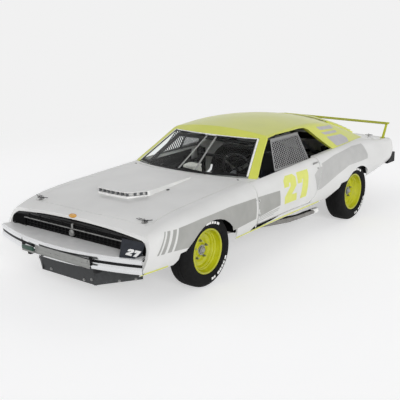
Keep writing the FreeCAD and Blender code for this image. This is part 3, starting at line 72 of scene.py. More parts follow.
def node(tree, kind, **values):
    """A new shader node with those values."""
    return fill(tree.nodes.new("ShaderNode" + kind), **values)


def link(a, out, b, into):
    """Joins an output of one node to an input of another."""
    a.id_data.links.new(a.outputs[out], b.inputs[into])


NOISE_LOW, NOISE_HIGH = .3, .7    # the stretch of the noise that is used
SMOOTHEST, COAT_ROUGHNESS, BUMP_DEPTH = .02, .06, .002


def material(name, dark, light, rough, spread, scale, bump=0.0, bump_scale=200.0, metal=0.0, coat=0.0, sheen=0.0,
        gloss=.5, glass=0.0, ior=1.5, stretch=(1, 1, 1), pattern="Noise"):
    """A procedural material: two colours and two roughnesses mixed by noise, and a fine bump."""
    made = bpy.data.materials.new(name)
    made.use_nodes = True
    tree = made.node_tree
    shader = fill(tree.nodes["Principled BSDF"], Metallic=metal, Coat_Weight=coat, Coat_Roughness=COAT_ROUGHNESS,
        Sheen_Weight=sheen, Transmission_Weight=glass, IOR=ior, Specular_IOR_Level=gloss)
    place = node(tree, "TexCoord")
    size = node(tree, "Mapping", Scale=stretch)
    link(place, "Object", size, "Vector")
    noise = node(tree, "TexNoise", Scale=scale, Detail=4.0)
    link(size, "Vector", noise, "Vector")
    ramp = node(tree, "ValToRGB")
    for stop, position, code in zip(ramp.color_ramp.elements, (NOISE_LOW, NOISE_HIGH), (dark, light)):
        stop.position, stop.color = position, linear(code)
    link(noise, "Fac", ramp, "Fac")
    link(ramp, "Color", shader, "Base Color")
    span = node(tree, "MapRange", From_Min=NOISE_LOW, From_Max=NOISE_HIGH, To_Min=max(rough - spread, SMOOTHEST),
        To_Max=rough + spread)
    link(noise, "Fac", span, "Value")
    link(span, "Result", shader, "Roughness")
    if bump:
        fine = node(tree, "Tex" + pattern, Scale=bump_scale)
        link(size, "Vector", fine, "Vector")
        raised = node(tree, "Bump", Strength=bump, Distance=BUMP_DEPTH)
        link(fine, "Fac" if pattern == "Noise" else "Distance", raised, "Height")
        link(raised, "Normal", shader, "Normal")
    return made


# each line: name, dark and light colour, roughness and its spread, noise scale, bump and its scale, and the rest
WHITE = material("white_paint", "dcdcda", "e6e6e4", .34, .03, 2.5, .02, 700, coat=.35)
LIME = material("lime_paint", "c9ce4a", "d2d656", .36, .03, 2.5, .02, 700, coat=.35)
LIME_DEEP = material("lime_wheel_paint", "a9ab08", "b9ba14", .33, .05, 14, .05, 300, coat=.5)
LIME_WING = material("lime_wing_paint", "a5aa1e", "b0b428", .5, .05, 6, .03, 500, gloss=.15)
LIME_DECAL = material("lime_vinyl", "dcdf70", "e2e57c", .45, .03, 20)
GREY_FRONT = material("grey_vinyl", "a3a39f", "adada9", .45, .03, 8, gloss=.3)
GREY_REAR = material("light_grey_vinyl", "b9b9b7", "c3c3c1", .45, .03, 8, gloss=.3)
LAVENDER = material("lavender_grey_vinyl", "b3b1b4", "bdbbbe", .45, .03, 10, gloss=.3)
NAVY = material("lamp_cover_plastic", "23262c", "2b2e35", .42, .05, 30, .1, 500, gloss=.25)
WHITE_DECAL = material("white_vinyl", "e9e9e7", "f1f1ef", .5, .03, 30)
BLACK = material("black_plastic", "0c0c0d", "141415", .5, .08, 40, .15, 600, gloss=.2)
DARK = material("dark_steel", "161617", "232324", .55, .1, 9, .12, 160, gloss=.2)
UNDER = material("underbody_paint", "0e0e0f", "1a1a1b", .7, .1, 6, .3, 120, gloss=.08)
DAM = material("air_dam_sheet", "38393a", "434445", .5, .08, 30, .15, 240, gloss=.2)
GREY = material("grey_steel", "5c5e60", "707274", .42, .1, 12, .08, metal=.3)
STEEL = material("bare_steel", "8f8f8e", "adadab", .33, .1, 20, .05, 300, metal=1.0, stretch=(1, .2, 1))
CHROME = material("chrome", "dcdddf", "e8e9ea", .14, .04, 5, metal=1.0)
IRON = material("cast_iron", "3b3a38", "4c4b48", .62, .12, 30, .5, 260, metal=.4)
RUBBER = material("tyre_rubber", "141414", "202020", .78, .08, 25, .25, 420, gloss=.12)
LEATHER = material("seat_leather", "0f0f10", "19191a", .55, .1, 20, .4, 450, sheen=.1, pattern="Voronoi", gloss=.2)
WEBBING = material("net_webbing", "1b1b1c", "2a2a2b", .8, .08, 160, .6, 900, sheen=.2, gloss=.1)
MESH = material("net_mesh", "8d8d8d", "a8a8a8", .75, .08, 160, .5, 900, sheen=.2, gloss=.2)
GLASS = material("glass", "f2f6f5", "fafcfb", .03, .01, 3, glass=1.0, ior=1.12)
TRIM = material("bright_trim", "ececea", "f6f6f4", .3, .05, 40, metal=.3, coat=.3)
SHELF = material("bumper_shelf_paint", "e2e2e1", "ebebea", .4, .05, 12, .03, 300, coat=.1)
CANVAS = material("duct_canvas", "b9b6b0", "d6d3cd", .85, .08, 40, .6, 90)
DASH = material("dash_top_vinyl", "2b2b2c", "3a3a39", .6, .1, 12, .4, 380, pattern="Voronoi", gloss=.12)
# near black: the cabin panels and lamp covers, and painted shade in the sill's recess and slot and in the exhaust bores
DEEP_BLACK_AND_PAINTED_SHADE = material("cabin_black", "070708", "0c0c0c", .75, .1, 14, .15, gloss=.06)
BLUE = material("engine_paint", "1f4a86", "2a5794", .4, .08, 25, .25, 240, coat=.3)
ALLOY = material("cast_alloy", "8d8d8b", "a3a3a0", .48, .12, 40, .5, 320, metal=.9)
HOSE = material("rubber_hose", "111112", "1a1a1a", .6, .1, 60, .3, 500, gloss=.2)
HARNESS = material("harness_webbing", "16181f", "20232c", .85, .05, 220, .7, 1200, sheen=.3, gloss=.15)
FOAM = material("cushion_fabric", "131314", "1d1d1f", .9, .06, 180, .5, 1500, sheen=.35, gloss=.1)
DIAL = material("dial_face", "d8d8d4", "e6e6e2", .4, .05, 30)
AMBER = material("amber_badge", "c98a10", "dca01c", .25, .05, 60, coat=.8)
PLATE = material("plate_metal", "8e8f8c", "9c9d9a", .4, .06, 30, .06, 300, metal=.5)
GREEN = material("green_paint", "17382c", "1f4636", .4, .05, 40, coat=.3)
RED_LENS = material("red_lens", "5c0a08", "7a120e", .18, .05, 50, .2, 120, coat=.9)
TIP = material("exhaust_steel", "7f7d7a", "9c9a96", .3, .1, 16, .05, 300, metal=1.0)

FINISHES = ((WHITE, "nose_panel front_fender_left front_fender_right cowl hood door_left door_right decklid"),
    (WHITE, "quarter_panel_left quarter_panel_right rocker_panels tail_panel"), (LIME, "roof rear_louvers"),
    (LIME_WING, "rear_wing"), (GLASS, "windshield rear_window"), (CHROME, "front_bumper"),
    (BLACK, "rear_bumper grille steering_wheel"), (DEEP_BLACK_AND_PAINTED_SHADE, "lamp_covers floor_pan firewall door_pillars"),
    (DAM, "air_dam"), (DARK,
    "deck_hinge_panel front_frame rear_frame rear_axle leaf_springs fuel_cell radiator roll_cage"),
    (UNDER, "wheel_housings"), (DASH, "dashboard"), (GREY, "control_arms knuckle_left knuckle_right steering_column"),
    (IRON, "engine_block transmission"), (STEEL, "drive_shaft"), (TIP, "exhaust_pipes"), (LEATHER, "driver_seat"),
    (MESH, "window_nets"))
FINISH = {name: look for look, names in FINISHES for name in names.split()}
for name, cad in NODES.items():
    finish = FINISH.get(name)
    if finish is None:
        finish = RUBBER if name.startswith("tyre") else LIME_DEEP
    cad.data.materials.clear()
    cad.data.materials.append(finish)
    for face in cad.data.polygons:
        face.material_index = 0

# ------------------------------------------------------------------ shapes


def vec(*numbers):
    """A vector of plain numbers."""
    return Vector(numbers)


class Shape:
    """The faces of one piece, in metres, in place."""

    def __init__(self):
        self.bm = bmesh.new()

    def skin(self, loops, closed=False):
        """Faces between loops of as many points each, with a cap at both ends of an open run."""
        rings = [[self.bm.verts.new(p) for p in loop] for loop in loops]
        count = len(rings[0])
        pairs = list(zip(rings, rings[1:])) + ([(rings[-1], rings[0])] if closed else [])
        for a, b in pairs:
            for i in range(count):
                j = (i + 1) % count
                self.bm.faces.new((a[i], a[j], b[j], b[i]))
        if not closed:
            self.bm.faces.new(rings[0])
            self.bm.faces.new(rings[-1])
        return self

    def block(self, low, high, soft=0.0, turn=None, steps=2):
        """A box between two opposite corners, its edges rounded, turned by a matrix."""
        made = bmesh.ops.create_cube(self.bm, size=1.0)["verts"]
        low, high = Vector(low), Vector(high)
        middle, size = (low + high) / 2, high - low
        for v in made:
            v.co = Vector(c * abs(s) for c, s in zip(v.co, size))
        if soft:
            edges = {e for v in made for e in v.link_edges}
            new = bmesh.ops.bevel(self.bm, geom=list(edges), offset=soft, segments=steps, affect="EDGES", profile=.5)
            made = list({v for f in new["faces"] for v in f.verts} | {v for v in made if v.is_valid})
        for v in made:
            v.co = (turn @ v.co if turn else v.co) + middle
        return self

    def plate(self, centre, half, soft=0.0, turn=None):
        """A box given by its centre and its half sizes."""
        return self.block(Vector(centre) - Vector(half), Vector(centre) + Vector(half), soft, turn)

    def tube(self, points, radius, sides=12, closed=False, flat=1.0):
        """A round bar along points; flat squeezes it across."""
        points = [Vector(p) for p in points]
        count = len(points)
        loops, normal = [], None
        for i, p in enumerate(points):
            before = points[i - 1] if i or closed else p
            after = points[(i + 1) % count] if i < count - 1 or closed else p
            along = (after - before).normalized()
            if normal is None:
                normal = along.orthogonal().normalized()
            normal = (normal - along * normal.dot(along)).normalized()
            side = along.cross(normal)
            r = radius[i] if isinstance(radius, (list, tuple)) else radius
            turns = [2 * pi * k / sides for k in range(sides)]
            loops.append([p + normal * (cos(t) * r) + side * (sin(t) * r * flat) for t in turns])
        return self.skin(loops, closed=closed)

    def strip(self, places, width, height):
        """A flat band laid along (point, normal) places, its foot just under them."""
        loops = []
        for i, (p, n) in enumerate(places):
            before, after = places[max(i - 1, 0)][0], places[min(i + 1, len(places) - 1)][0]
            side = (after - before).normalized().cross(n).normalized()
            outer, inner = width / 2, width / 2 - height * .4
            half = ((outer, -.001), (outer, height * .6), (inner, height))
            loops.append([p + side * w + n * h for w, h in half] + [p - side * w + n * h for w, h in reversed(half)])
        return self.skin(loops)

    def lathe(self, profile, centre, axis=(1, 0, 0), steps=64, loop=False):
        """Turns (along, radius) points, in mm, round an axis; loop joins the last point to the first."""
        axis, centre = Vector(axis).normalized(), Vector(centre)
        u = vec(0, 1, 0) if abs(axis.y) < .9 else vec(0, 0, 1)
        u = (u - axis * u.dot(axis)).normalized()
        w = axis.cross(u)
        rings = []
        for k in range(steps):
            t = 2 * pi * k / steps
            out = u * cos(t) + w * sin(t)
            rings.append([self.bm.verts.new(centre + (axis * a + out * r) / 1000) for a, r in profile])
        for a, b in zip(rings, rings[1:] + rings[:1]):
            for i in range(len(profile) if loop else len(profile) - 1):
                j = (i + 1) % len(profile)
                self.bm.faces.new((a[i], a[j], b[j], b[i]))
        return self

    def stud(self, place, profile, steps):
        """A lathe profile standing on a (point, normal) that a ray found; nothing where it found none."""
        if place[0] is not None:
            self.lathe(profile, place[0], place[1], steps)

    def done(self, name, look, body="body", slot=None, mirror=False, sharp=38):
        """The finished piece, riding on a body.

        slot is not used, and mirror turns a left piece into its right one.
        """
        copy = self.bm.copy()
        if mirror:
            for v in copy.verts:
                v.co.x = -v.co.x
        bmesh.ops.remove_doubles(copy, verts=copy.verts, dist=1e-6)
        bmesh.ops.dissolve_degenerate(copy, edges=copy.edges, dist=1e-7)
        bmesh.ops.recalc_face_normals(copy, faces=copy.faces)
        for f in copy.faces:
            f.smooth = True
        mesh = bpy.data.meshes.new(name)
        copy.to_mesh(mesh)
        copy.free()
        mesh.set_sharp_from_angle(angle=radians(sharp))
        mesh.materials.append(look)
        made = bpy.data.objects.new(name, mesh)
        scene.collection.objects.link(made)
        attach(made, body)
        return made


def rounded(points, reach=.06, count=6):
    """A path with its corners rounded off."""
    points = [Vector(p) for p in points]
    made = [points[0]]
    for a, b, c in zip(points, points[1:], points[2:]):
        r = min(reach, (a - b).length * .45, (c - b).length * .45)
        p, q = b + (a - b).normalized() * r, b + (c - b).normalized() * r
        for k in range(count + 1):
            t = k / count
            made.append(p * (1 - t) ** 2 + b * 2 * t * (1 - t) + q * t * t)
    return made + [points[-1]]


TREES = {}    # the search trees made so far


def surface(names):
    """A search tree over CAD nodes."""
    names = (names,) if isinstance(names, str) else tuple(names)
    if names not in TREES:
        points, faces = [], []
        for name in names:
            mesh = NODES[name].data
            base = len(points)
            points += [v.co.copy() for v in mesh.vertices]
            faces += [[base + i for i in f.vertices] for f in mesh.polygons]
        TREES[names] = BVHTree.FromPolygons(points, faces)
    return TREES[names]


def land(names, start, direction):
    """Where a ray first meets CAD nodes, and the outward normal there."""
    direction = Vector(direction).normalized()
    place, normal, _, _ = surface(names).ray_cast(Vector(start), direction)
    if place is None:
        return None, None
    return place, (-normal if normal.dot(direction) > 0 else normal)


FRONT, REAR, UP = (0, -1, 0), (0, 1, 0), (0, 0, 1)


# where the rays start, clear of the car
AHEAD, BEHIND, ABOVE, ASIDE = -3.0, 3.2, 1.5, 1.4


def from_front(names, x, z):
    """Where CAD nodes are met at (x, z), coming from in front of the car."""
    return land(names, (x, AHEAD, z), REAR)


def from_rear(names, x, z):
    """Where CAD nodes are met at (x, z), coming from behind the car."""
    return land(names, (x, BEHIND, z), FRONT)


def from_above(names, x, y):
    """Where CAD nodes are met at (x, y), coming from above."""
    return land(names, (x, y, ABOVE), (0, 0, -1))


def from_side(names, sign, y, z):
    """Where CAD nodes are met at (y, z), coming from the car's left (1) or right (-1)."""
    return land(names, (sign * ASIDE, y, z), (-sign, 0, 0))


VINYL, VINYL_LIFT = .0005, .0006    # its thickness, and its height over the panel
COVERED = .002    # another panel that much nearer hides this one


def cut_flat(bm, point, normal, drop=False):
    """Cuts flat faces by a plane, and drops what lies ahead of it."""
    geometry = bm.verts[:] + bm.edges[:] + bm.faces[:]
    bmesh.ops.bisect_plane(bm, geom=geometry, dist=1e-6, plane_co=point, plane_no=normal, clear_outer=drop)


def decal(name, outlines, nodes, look, body="body", slot=None, axis="x", side=1.0, step=(.04, .012), span=None,
        holes=(), against=None):
    """Thin vinyl laid on CAD nodes: outlines are (y, z) seen along X or (x, z) along Y.

    step is the size of its facets, span its limits in the first coordinate, holes are outlines left out, and against
    names nodes that may hide it.
    """
    flat = bmesh.new()
    for outline in outlines:
        turned = sum(a * q - p * b for (a, b), (p, q) in zip(outline, outline[1:] + outline[:1])) < 0
        face = flat.faces.new([flat.verts.new((a, b, 0)) for a, b in (outline[::-1] if turned else outline)])
        face.normal_update()
        bmesh.ops.triangulate(flat, faces=[face])
    if span:
        cut_flat(flat, (span[0], 0, 0), (-1, 0, 0), drop=True)
        cut_flat(flat, (span[1], 0, 0), (1, 0, 0), drop=True)
    for hole in holes:
        for p, q in zip(hole, hole[1:]):
            cut_flat(flat, (p[0], p[1], 0), (q[1] - p[1], p[0] - q[0], 0))
    if not flat.faces:
        return None
    for i in (0, 1):
        values = [v.co[i] for v in flat.verts]
        k = min(values) // step[i] + 1
        while k * step[i] < max(values):
            point, normal = [0, 0, 0], [0, 0, 0]
            point[i], normal[i] = k * step[i], 1
            cut_flat(flat, point, normal)
            k += 1
    def ray(a, b):
        return from_side(nodes, side, a, b) if axis == "x" else from_rear(nodes, a, b)

    lost = []
    inside = [f for f in flat.faces if any(within(f.calc_center_median(), hole) for hole in holes)]
    bmesh.ops.delete(flat, geom=inside, context="FACES")
    for v in flat.verts:
        place, normal = ray(v.co.x, v.co.y)
        if place is not None and against and (from_side(against, side, v.co.x, v.co.y)[0] - place).length > COVERED:
            place = None
        if place is None:
            lost.append(v)
        else:
            v.co = place + normal * VINYL_LIFT
    bmesh.ops.delete(flat, geom=lost, context="VERTS")
    if not flat.faces:
        return None
    bmesh.ops.remove_doubles(flat, verts=flat.verts, dist=1e-5)
    bmesh.ops.recalc_face_normals(flat, faces=flat.faces)
    flat.normal_update()
    out = Vector((side, 0, 0) if axis == "x" else REAR)
    kept = [(v, v.normal * (VINYL if v.normal.dot(out) > 0 else -VINYL)) for v in flat.verts]
    bmesh.ops.extrude_face_region(flat, geom=flat.faces[:], use_keep_orig=True)
    for v, shift in kept:
        v.co += shift
    made = Shape()
    made.bm = flat
    return made.done(name, look, body, slot=slot, sharp=50)


def within(point, outline):
    """Whether a point is inside a flat outline."""
    inside = False
    for (ax, ay), (bx, by) in zip(outline, outline[1:] + outline[:1]):
        if (ay > point.y) != (by > point.y) and point.x < (bx - ax) * (point.y - ay) / (by - ay) + ax:
            inside = not inside
    return inside


# ------------------------------------------------------------------ wheels and tyres
FRONT_AXLE_Y, REAR_AXLE_Y, HUB_Z = -1.545, 1.245, .341
# half sections in mm: (beyond the rim's outer face, radius)
RIM = [(0, 200), (0, 208), (-2, 212), (-6, 213.5), (-10, 212.5), (-14, 206), (-17, 197), (-30, 194), (-50, 192),
    (-60, 189), (-68, 180), (-72, 170), (-78, 167), (-128, 167), (-136, 172), (-145, 188), (-183, 194), (-188, 206),
    (-194, 213), (-200, 210), (-200, 202), (-194, 190), (-152, 182), (-136, 161), (-112, 160), (-118, 120), (-128, 75),
    (-150, 60), (-188, 60), (-188, 17), (-80, 17), (-78, 50), (-84, 58), (-95, 64), (-98, 72), (-96, 84), (-99, 100),
    (-103, 112), (-102, 124), (-96, 140), (-94, 152), (-84, 157), (-76, 160), (-70, 166), (-69, 171), (-60, 174),
    (-56, 181), (-50, 184.5), (-34, 186.5), (-28, 190.5), (-20, 191.5), (-8, 194), (-2, 197)]
TYRE = [(-19, 198), (-17, 204), (-12, 213), (-4, 217), (2, 219), (6, 226), (9.6, 234), (9.4, 237), (11.6, 239),
    (14.2, 250), (15.8, 262), (16.2, 272), (15, 283), (12.4, 291), (11, 294), (11.2, 297), (6, 305), (0, 312.5),
    (-6, 320), (-13, 327), (-22, 333.5), (-34, 337.6), (-52, 339.2), (-57, 339.4), (-58, 335.5), (-63, 335.5),
    (-64, 339.8), (-94, 340.6), (-95, 336), (-99.5, 336)]
RIM_WIDTH = 200


def sidewall(r):
    """How far the tyre's side stands beyond the lip at a radius, in mm."""
    for (a, p), (b, q) in zip(TYRE, TYRE[1:]):
        if p <= r <= q:
            return a + (b - a) * (r - p) / max(q - p, 1e-6)
    return 0.0


# (middle, width) in degrees of the white marks on a tyre's side
DASHES = ((62, 8), (72, 6), (80, 6), (88, 6), (96, 9), (-26, 8), (-36, 6), (-44, 6), (-52, 6), (-60, 8), (-74, 5),
    (-81, 6))


def wheel(end, axle_y, rim_x):
    """The rims, nuts, caps, tyres and marks of both wheels of an axle."""
    centre = (rim_x, axle_y, HUB_Z)
    rim = Shape().lathe(RIM, centre, steps=96, loop=True)
    nuts, cap = Shape(), Shape()
    for k in range(5):
        t = 2 * pi * (k + .25) / 5
        place = vec(rim_x - .099, axle_y + .086 * cos(t), HUB_Z + .086 * sin(t))
        nuts.lathe([(0, 0), (0, 14.5), (4, 14.5), (5, 11.5), (18, 10.5), (21, 8), (21, 0)], place, steps=6)
        nuts.lathe([(20, 0), (20, 6), (29, 6), (30, 4), (30, 0)], place, steps=12)
    cap.lathe([(-80.5, 0), (-80.5, 30), (-82, 32), (-82, 36), (-64, 36), (-62, 34), (-60, 27), (-54, 25), (-50, 20),
        (-49, 8), (-51, 0)], centre, steps=48)
    cap.lathe([(-88, 46), (-76, 50), (-73, 48), (-72, 37), (-88, 37)], centre, steps=48, loop=True)
    inner_half = [(-RIM_WIDTH - a, r) for a, r in reversed(TYRE)]
    tyre = Shape().lathe(TYRE + inner_half, centre, steps=120, loop=True)
    letters = Shape()
    for start, width in DASHES:
        loops = []
        for k in range(5):
            t = radians(start + width * (k / 4 - .5))
            out = vec(0, cos(t), sin(t))
            radii = (258, 266, 274, 281)
            loops.append([Vector(centre) + (vec(sidewall(r) + lift, 0, 0) + out * r) / 1000 for lift, row in
                ((.7, radii), (-.6, radii[::-1])) for r in row])
        letters.skin(loops)
    for label, sign in SIDES:
        body, turned_over = f"{end}_{label}_wheel", sign < 0
        piece = rim.done(f"rim_{end}_{label}", LIME_DEEP, body, mirror=turned_over, sharp=30)
        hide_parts(f"wheel_{end}_{label}")
        nuts.done(f"wheel_nuts_{end}_{label}", STEEL, body, slot="wheel_paint", mirror=turned_over)
        cap.done(f"hub_cap_{end}_{label}", STEEL, body, slot="wheel_paint", mirror=turned_over)
        piece = tyre.done(f"rubber_{end}_{label}", RUBBER, body, slot="tyre", mirror=turned_over, sharp=30)
        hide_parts(f"tyre_{end}_{label}")
        letters.done(f"sidewall_dashes_{end}_{label}", WHITE_DECAL, body, slot="tyre", mirror=turned_over)


wheel("front", FRONT_AXLE_Y, .906)
wheel("rear", REAR_AXLE_Y, .938)

# ------------------------------------------------------------------ side graphics
FENDER_END, DOOR_START, DOOR_END, QUARTER_START = -.7665, -.759, .469, .482


def arch(axle_y, start, rise, crown, fall, end):
    """A wheel arch's outline, a millimetre or two outside the opening's edge."""
    (ax, ay), (bx, by), (cx, cy) = rise, crown, fall
    d = 2 * (ax * (by - cy) + bx * (cy - ay) + cx * (ay - by))
    ux = ((ax * ax + ay * ay) * (by - cy) + (bx * bx + by * by) * (cy - ay) + (cx * cx + cy * cy) * (ay - by)) / d
    uy = ((ax * ax + ay * ay) * (cx - bx) + (bx * bx + by * by) * (ax - cx) + (cx * cx + cy * cy) * (bx - ax)) / d
    r = hypot(ax - ux, ay - uy) + .0015
    first, last = atan2(ay - uy, ax - ux), atan2(cy - uy, cx - ux)
    bend = [(axle_y + ux + r * cos(first + (last - first) * k / 12), uy + r * sin(first + (last - first) * k / 12))
        for k in range(13)]
    return [(axle_y + start[0], start[1])] + bend + [(axle_y + end[0], end[1]), (axle_y + end[0], .1),
        (axle_y + start[0], .1)]


FRONT_ARCH = arch(FRONT_AXLE_Y, (-.532, .3), (-.255, .525), (-.015, .636), (.325, .505), (.387, .3))
REAR_ARCH = arch(REAR_AXLE_Y, (-.767, .3), (-.2, .515), (.1, .64), (.315, .545), (.382, .3))
PANELS = (("front_fender", "body", -3.0, FENDER_END), ("door", "door", DOOR_START, DOOR_END),
    ("quarter_panel", "body", QUARTER_START, 3.0))


def on_side(name, outlines, look, only):
    """The same vinyl on those panels of both sides."""
    for label, sign in SIDES:
        for panel, owner, start, end in PANELS:
            if panel in only:
                body = f"{label}_door" if owner == "door" else "body"
                decal(f"{name}_{panel}_{label}", outlines, f"{panel}_{label}", look, body, slot="white_paint",
                    side=sign, span=(start, end), holes=(FRONT_ARCH, REAR_ARCH))


on_side("front_bars", [[(-2.118, .664), (-2.108, .664), (-2.228, .488), (-2.249, .489)],
    [(-2.089, .663), (-2.06, .662), (-2.164, .487), (-2.206, .488)], [(-2.028, .662), (-1.989, .661), (-2.084, .486),
    (-2.131, .487)]], GREY_FRONT, only=("front_fender",))
on_side("front_band", [[(-1.965, .664), (-1.675, .684), (-1.361, .694), (-1.244, .698), (-.737, .684), (-.351, .669),
    (-.343, .515), (-.74, .481), (-1.19, .462), (-1.85, .47), (-2.055, .484)]], GREY_FRONT,
    only=("front_fender", "door"))
REAR_BAND = [[(.341, .707), (.47, .775), (.526, .8), (.809, .846), (1.251, .88), (1.5, .875), (1.549, .745),
    (1.529, .7), (1.064, .695), (.82, .636), (.47, .527), (.382, .524)]]
on_side("rear_band", REAR_BAND, GREY_REAR, only=("quarter_panel",))
# round the door's curved rear seam each panel takes what it shows
for label, sign in SIDES:
    both = (f"door_{label}", f"quarter_panel_{label}")
    for part, panel, owner, start, end in (("door", both[0], f"{label}_door", .33, DOOR_END),
            ("seam", both[1], "body", .33, QUARTER_START)):
        decal(f"rear_band_{part}_{label}", REAR_BAND, panel, GREY_REAR, owner, side=sign, step=(.006, .006),
            span=(start, end), against=both)
on_side("thin_lines", [[(-.738, .47), (-.354, .486), (-.354, .492), (-.738, .476)],
    [(-.738, .452), (-.374, .468), (-.374, .474), (-.738, .458)], [(-.738, .434), (-.46, .446), (-.46, .452),
    (-.738, .44)]], GREY_FRONT, only=("door",))
# the digits, one high, with the second one's start
SECOND_DIGIT = .74
TWO = [(0, .6), (0, .86), (.14, 1), (.52, 1), (.66, .87), (.66, .56), (.37, .28), (.66, .28), (.66, 0), (0, 0),
    (0, .27), (.34, .6), (.34, .73), (.27, .73), (.27, .6)]
SEVEN = [(0, 1), (.62, 1), (.62, .76), (.46, 0), (.11, 0), (.3, .71), (.24, .71), (.24, .59), (0, .59)]


def number(width, height):
    """The outlines of 27, from its lower left corner."""
    unit = width / (SECOND_DIGIT + .62)
    return [[((x + shift) * unit, z * height) for x, z in digit] for digit, shift in ((TWO, 0), (SEVEN, SECOND_DIGIT))]


NUMBER_Y, NUMBER_Z = (-.262, .222), (.506, .79)
for label, sign in SIDES:
    first = NUMBER_Y[0] if sign > 0 else NUMBER_Y[1]
    outlines = [[(first + sign * y, NUMBER_Z[0] + z) for y, z in digit] for digit in number(NUMBER_Y[1] - NUMBER_Y[0],
        NUMBER_Z[1] - NUMBER_Z[0])]
    decal(f"door_number_{label}", outlines, f"door_{label}", LIME_DECAL, f"{label}_door", side=sign)

# stripe along the bottom edge, painted shade of the sill's recess and slot, and the patches on the rear pillars
STRIPE_HEIGHT = .017
SILL_LINE = [(-2.42, .3465), (-2.085, .3465), (-1.545, .3465), (-.76, .3475), (.45, .3635), (.9, .385)]


def stripe(start, end):
    """A band along the body's lower edge."""
    def edge(y):
        for (a, p), (b, q) in zip(SILL_LINE, SILL_LINE[1:]):
            if a <= y <= b:
                return p + (q - p) * (y - a) / (b - a)
        return SILL_LINE[0][1]
    ys = [start + (end - start) * k / 12 for k in range(13)]
    return [(y, edge(y)) for y in ys] + [(y, edge(y) + STRIPE_HEIGHT) for y in reversed(ys)]


for label, sign in SIDES:
    for part, node_name, start, end in (("nose", f"front_fender_{label}", -2.4, -2.092),
            ("mid", f"front_fender_{label}", -1.168, -.766), ("sill", "rocker_panels", -.762, .317),
            ("rear", f"quarter_panel_{label}", .325, .492)):
        decal(f"edge_stripe_{part}_{label}", [stripe(start, end)], node_name, LIME_DECAL, side=sign, step=(.05, .009))
    # black vinyl on the flat panels is painted shade where the sill is recessed and slotted
    decal(f"sill_recess_painted_shade_{label}", [[(-.86, .366), (-.7655, .366), (-.7655, .409), (-.8, .402)]],
        f"front_fender_{label}", DEEP_BLACK_AND_PAINTED_SHADE, side=sign)
    decal(f"sill_slot_painted_shade_{label}", [[(-.7585, .366), (-.62, .369), (-.46, .382), (-.33, .4015), (-.7585, .4025)]],
        "rocker_panels", DEEP_BLACK_AND_PAINTED_SHADE, side=sign)
    for k, patch in enumerate(([(.8, 1.146), (1.19, 1.112), (1.215, 1.076), (.86, 1.104)],
            [(.845, 1.078), (1.225, 1.056), (1.245, 1.03), (.92, 1.046)], [(.925, 1.022), (1.31, 1.0), (1.4, .948),
            (1.38, .908), (1.04, .908)])):
        decal(f"pillar_patch_{k}_{label}", [patch], "roof", LAVENDER, side=sign, step=(.05, .008))

# ------------------------------------------------------------------ front end
# the bumper is an arc in plan, through its two ends and the nose
END_X, END_Y, NOSE = .9, -2.425, -2.6
BOW = (END_X ** 2 + (END_Y - NOSE) ** 2) / (2 * (END_Y - NOSE))
SPREAD = asin(END_X / BOW)


def bumper_run(profile, half_angle, count=48):
    """Loops of a profile of (out, z) carried along the bumper's curve in plan."""
    loops = []
    for k in range(count + 1):
        t = -half_angle + 2 * half_angle * k / count
        out = vec(sin(t), -cos(t), 0)
        loops.append([vec(0, NOSE + BOW, z) + out * (BOW + d) for d, z in profile])
    return loops


FACE = [(-.1, .5), (-.02, .5), (-.008, .4975), (-.0025, .492), (-.0005, .484), (-.0005, .463), (-.003, .457),
    (-.01, .4525), (-.0125, .448), (-.0125, .428), (-.01, .4235), (-.003, .419), (0, .412), (0, .386), (-.003, .376),
    (-.01, .368), (-.022, .365), (-.052, .365), (-.052, .371), (-.024, .371), (-.012, .378), (-.008, .388),
    (-.008, .408), (-.019, .424), (-.019, .452), (-.008, .466), (-.008, .482), (-.014, .491), (-.024, .494),
    (-.1, .494)]
bumper = Shape().skin(bumper_run(FACE, SPREAD))
piece = bumper.done("bumper_front", CHROME, sharp=32)
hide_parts("front_bumper")
shelf = Shape()
loops = []
for loop in bumper_run([(-.016, .5005), (-.098, .5005)], SPREAD * .99, 32):
    edge, back = loop[0], loop[1]
    back_y = max(-2.322, back.y) if abs(back.x) < .8 else back.y + .01
    loops.append([edge, vec(back.x, back_y, .5005), vec(back.x, back_y, .494), edge - vec(0, 0, .0065)])
shelf.skin(loops)
shelf.done("bumper_shelf", SHELF, sharp=32)
arms = Shape()
for sign in (-1, 1):
    for y0, z0, y1, z1, soft in ((-2.5, .306, -2.332, .362, .003), (-2.56, .372, -2.54, .48, .003),
            (-2.545, .376, -2.48, .384, .002)):
        arms.block((sign * .425 - .02, y0, z0), (sign * .425 + .02, y1, z1), soft)
arms.done("bumper_arms", DARK)
# a black strip inside the chrome face's groove: a painted dark reflection
Shape().skin(bumper_run([(-.0122, .4475), (-.0095, .4475), (-.0095, .4285), (-.0122, .4285)],
    SPREAD * .998)).done("bumper_groove_painted_reflection", BLACK)

Shape().block((-.196, -2.612, .392), (.486, -2.6085, .47), .002).done("front_plate", PLATE)
rails = Shape()
for z in (.394, .431, .468):
    rails.block((-.194, -2.6145, z - .0022), (.484, -2.6115, z + .0022), .001)
for x in (-.194, .484):
    rails.block((x - .0022, -2.6145, .394), (x + .0022, -2.6115, .468), .001)
for x in (-.17, .46):
    rails.lathe([(0, 0), (0, 7), (3, 7), (4.5, 4), (4.5, 0)], (x, -2.612, .45), axis=FRONT, steps=16)
rails.done("front_plate_frame", STEEL)
stays = Shape()
for x in (-.12, .42):
    stays.block((x - .015, -2.6085, .38), (x + .015, -2.595, .44), .002)
stays.done("front_plate_stays", DARK)
Shape().block((-.392, -2.606, .398), (-.246, -2.585, .434), .004).done("tow_block", GREEN)
Shape().block((-.392, -2.604, .38), (-.23, -2.584, .396), .003).done("tow_block_strip", PLATE)

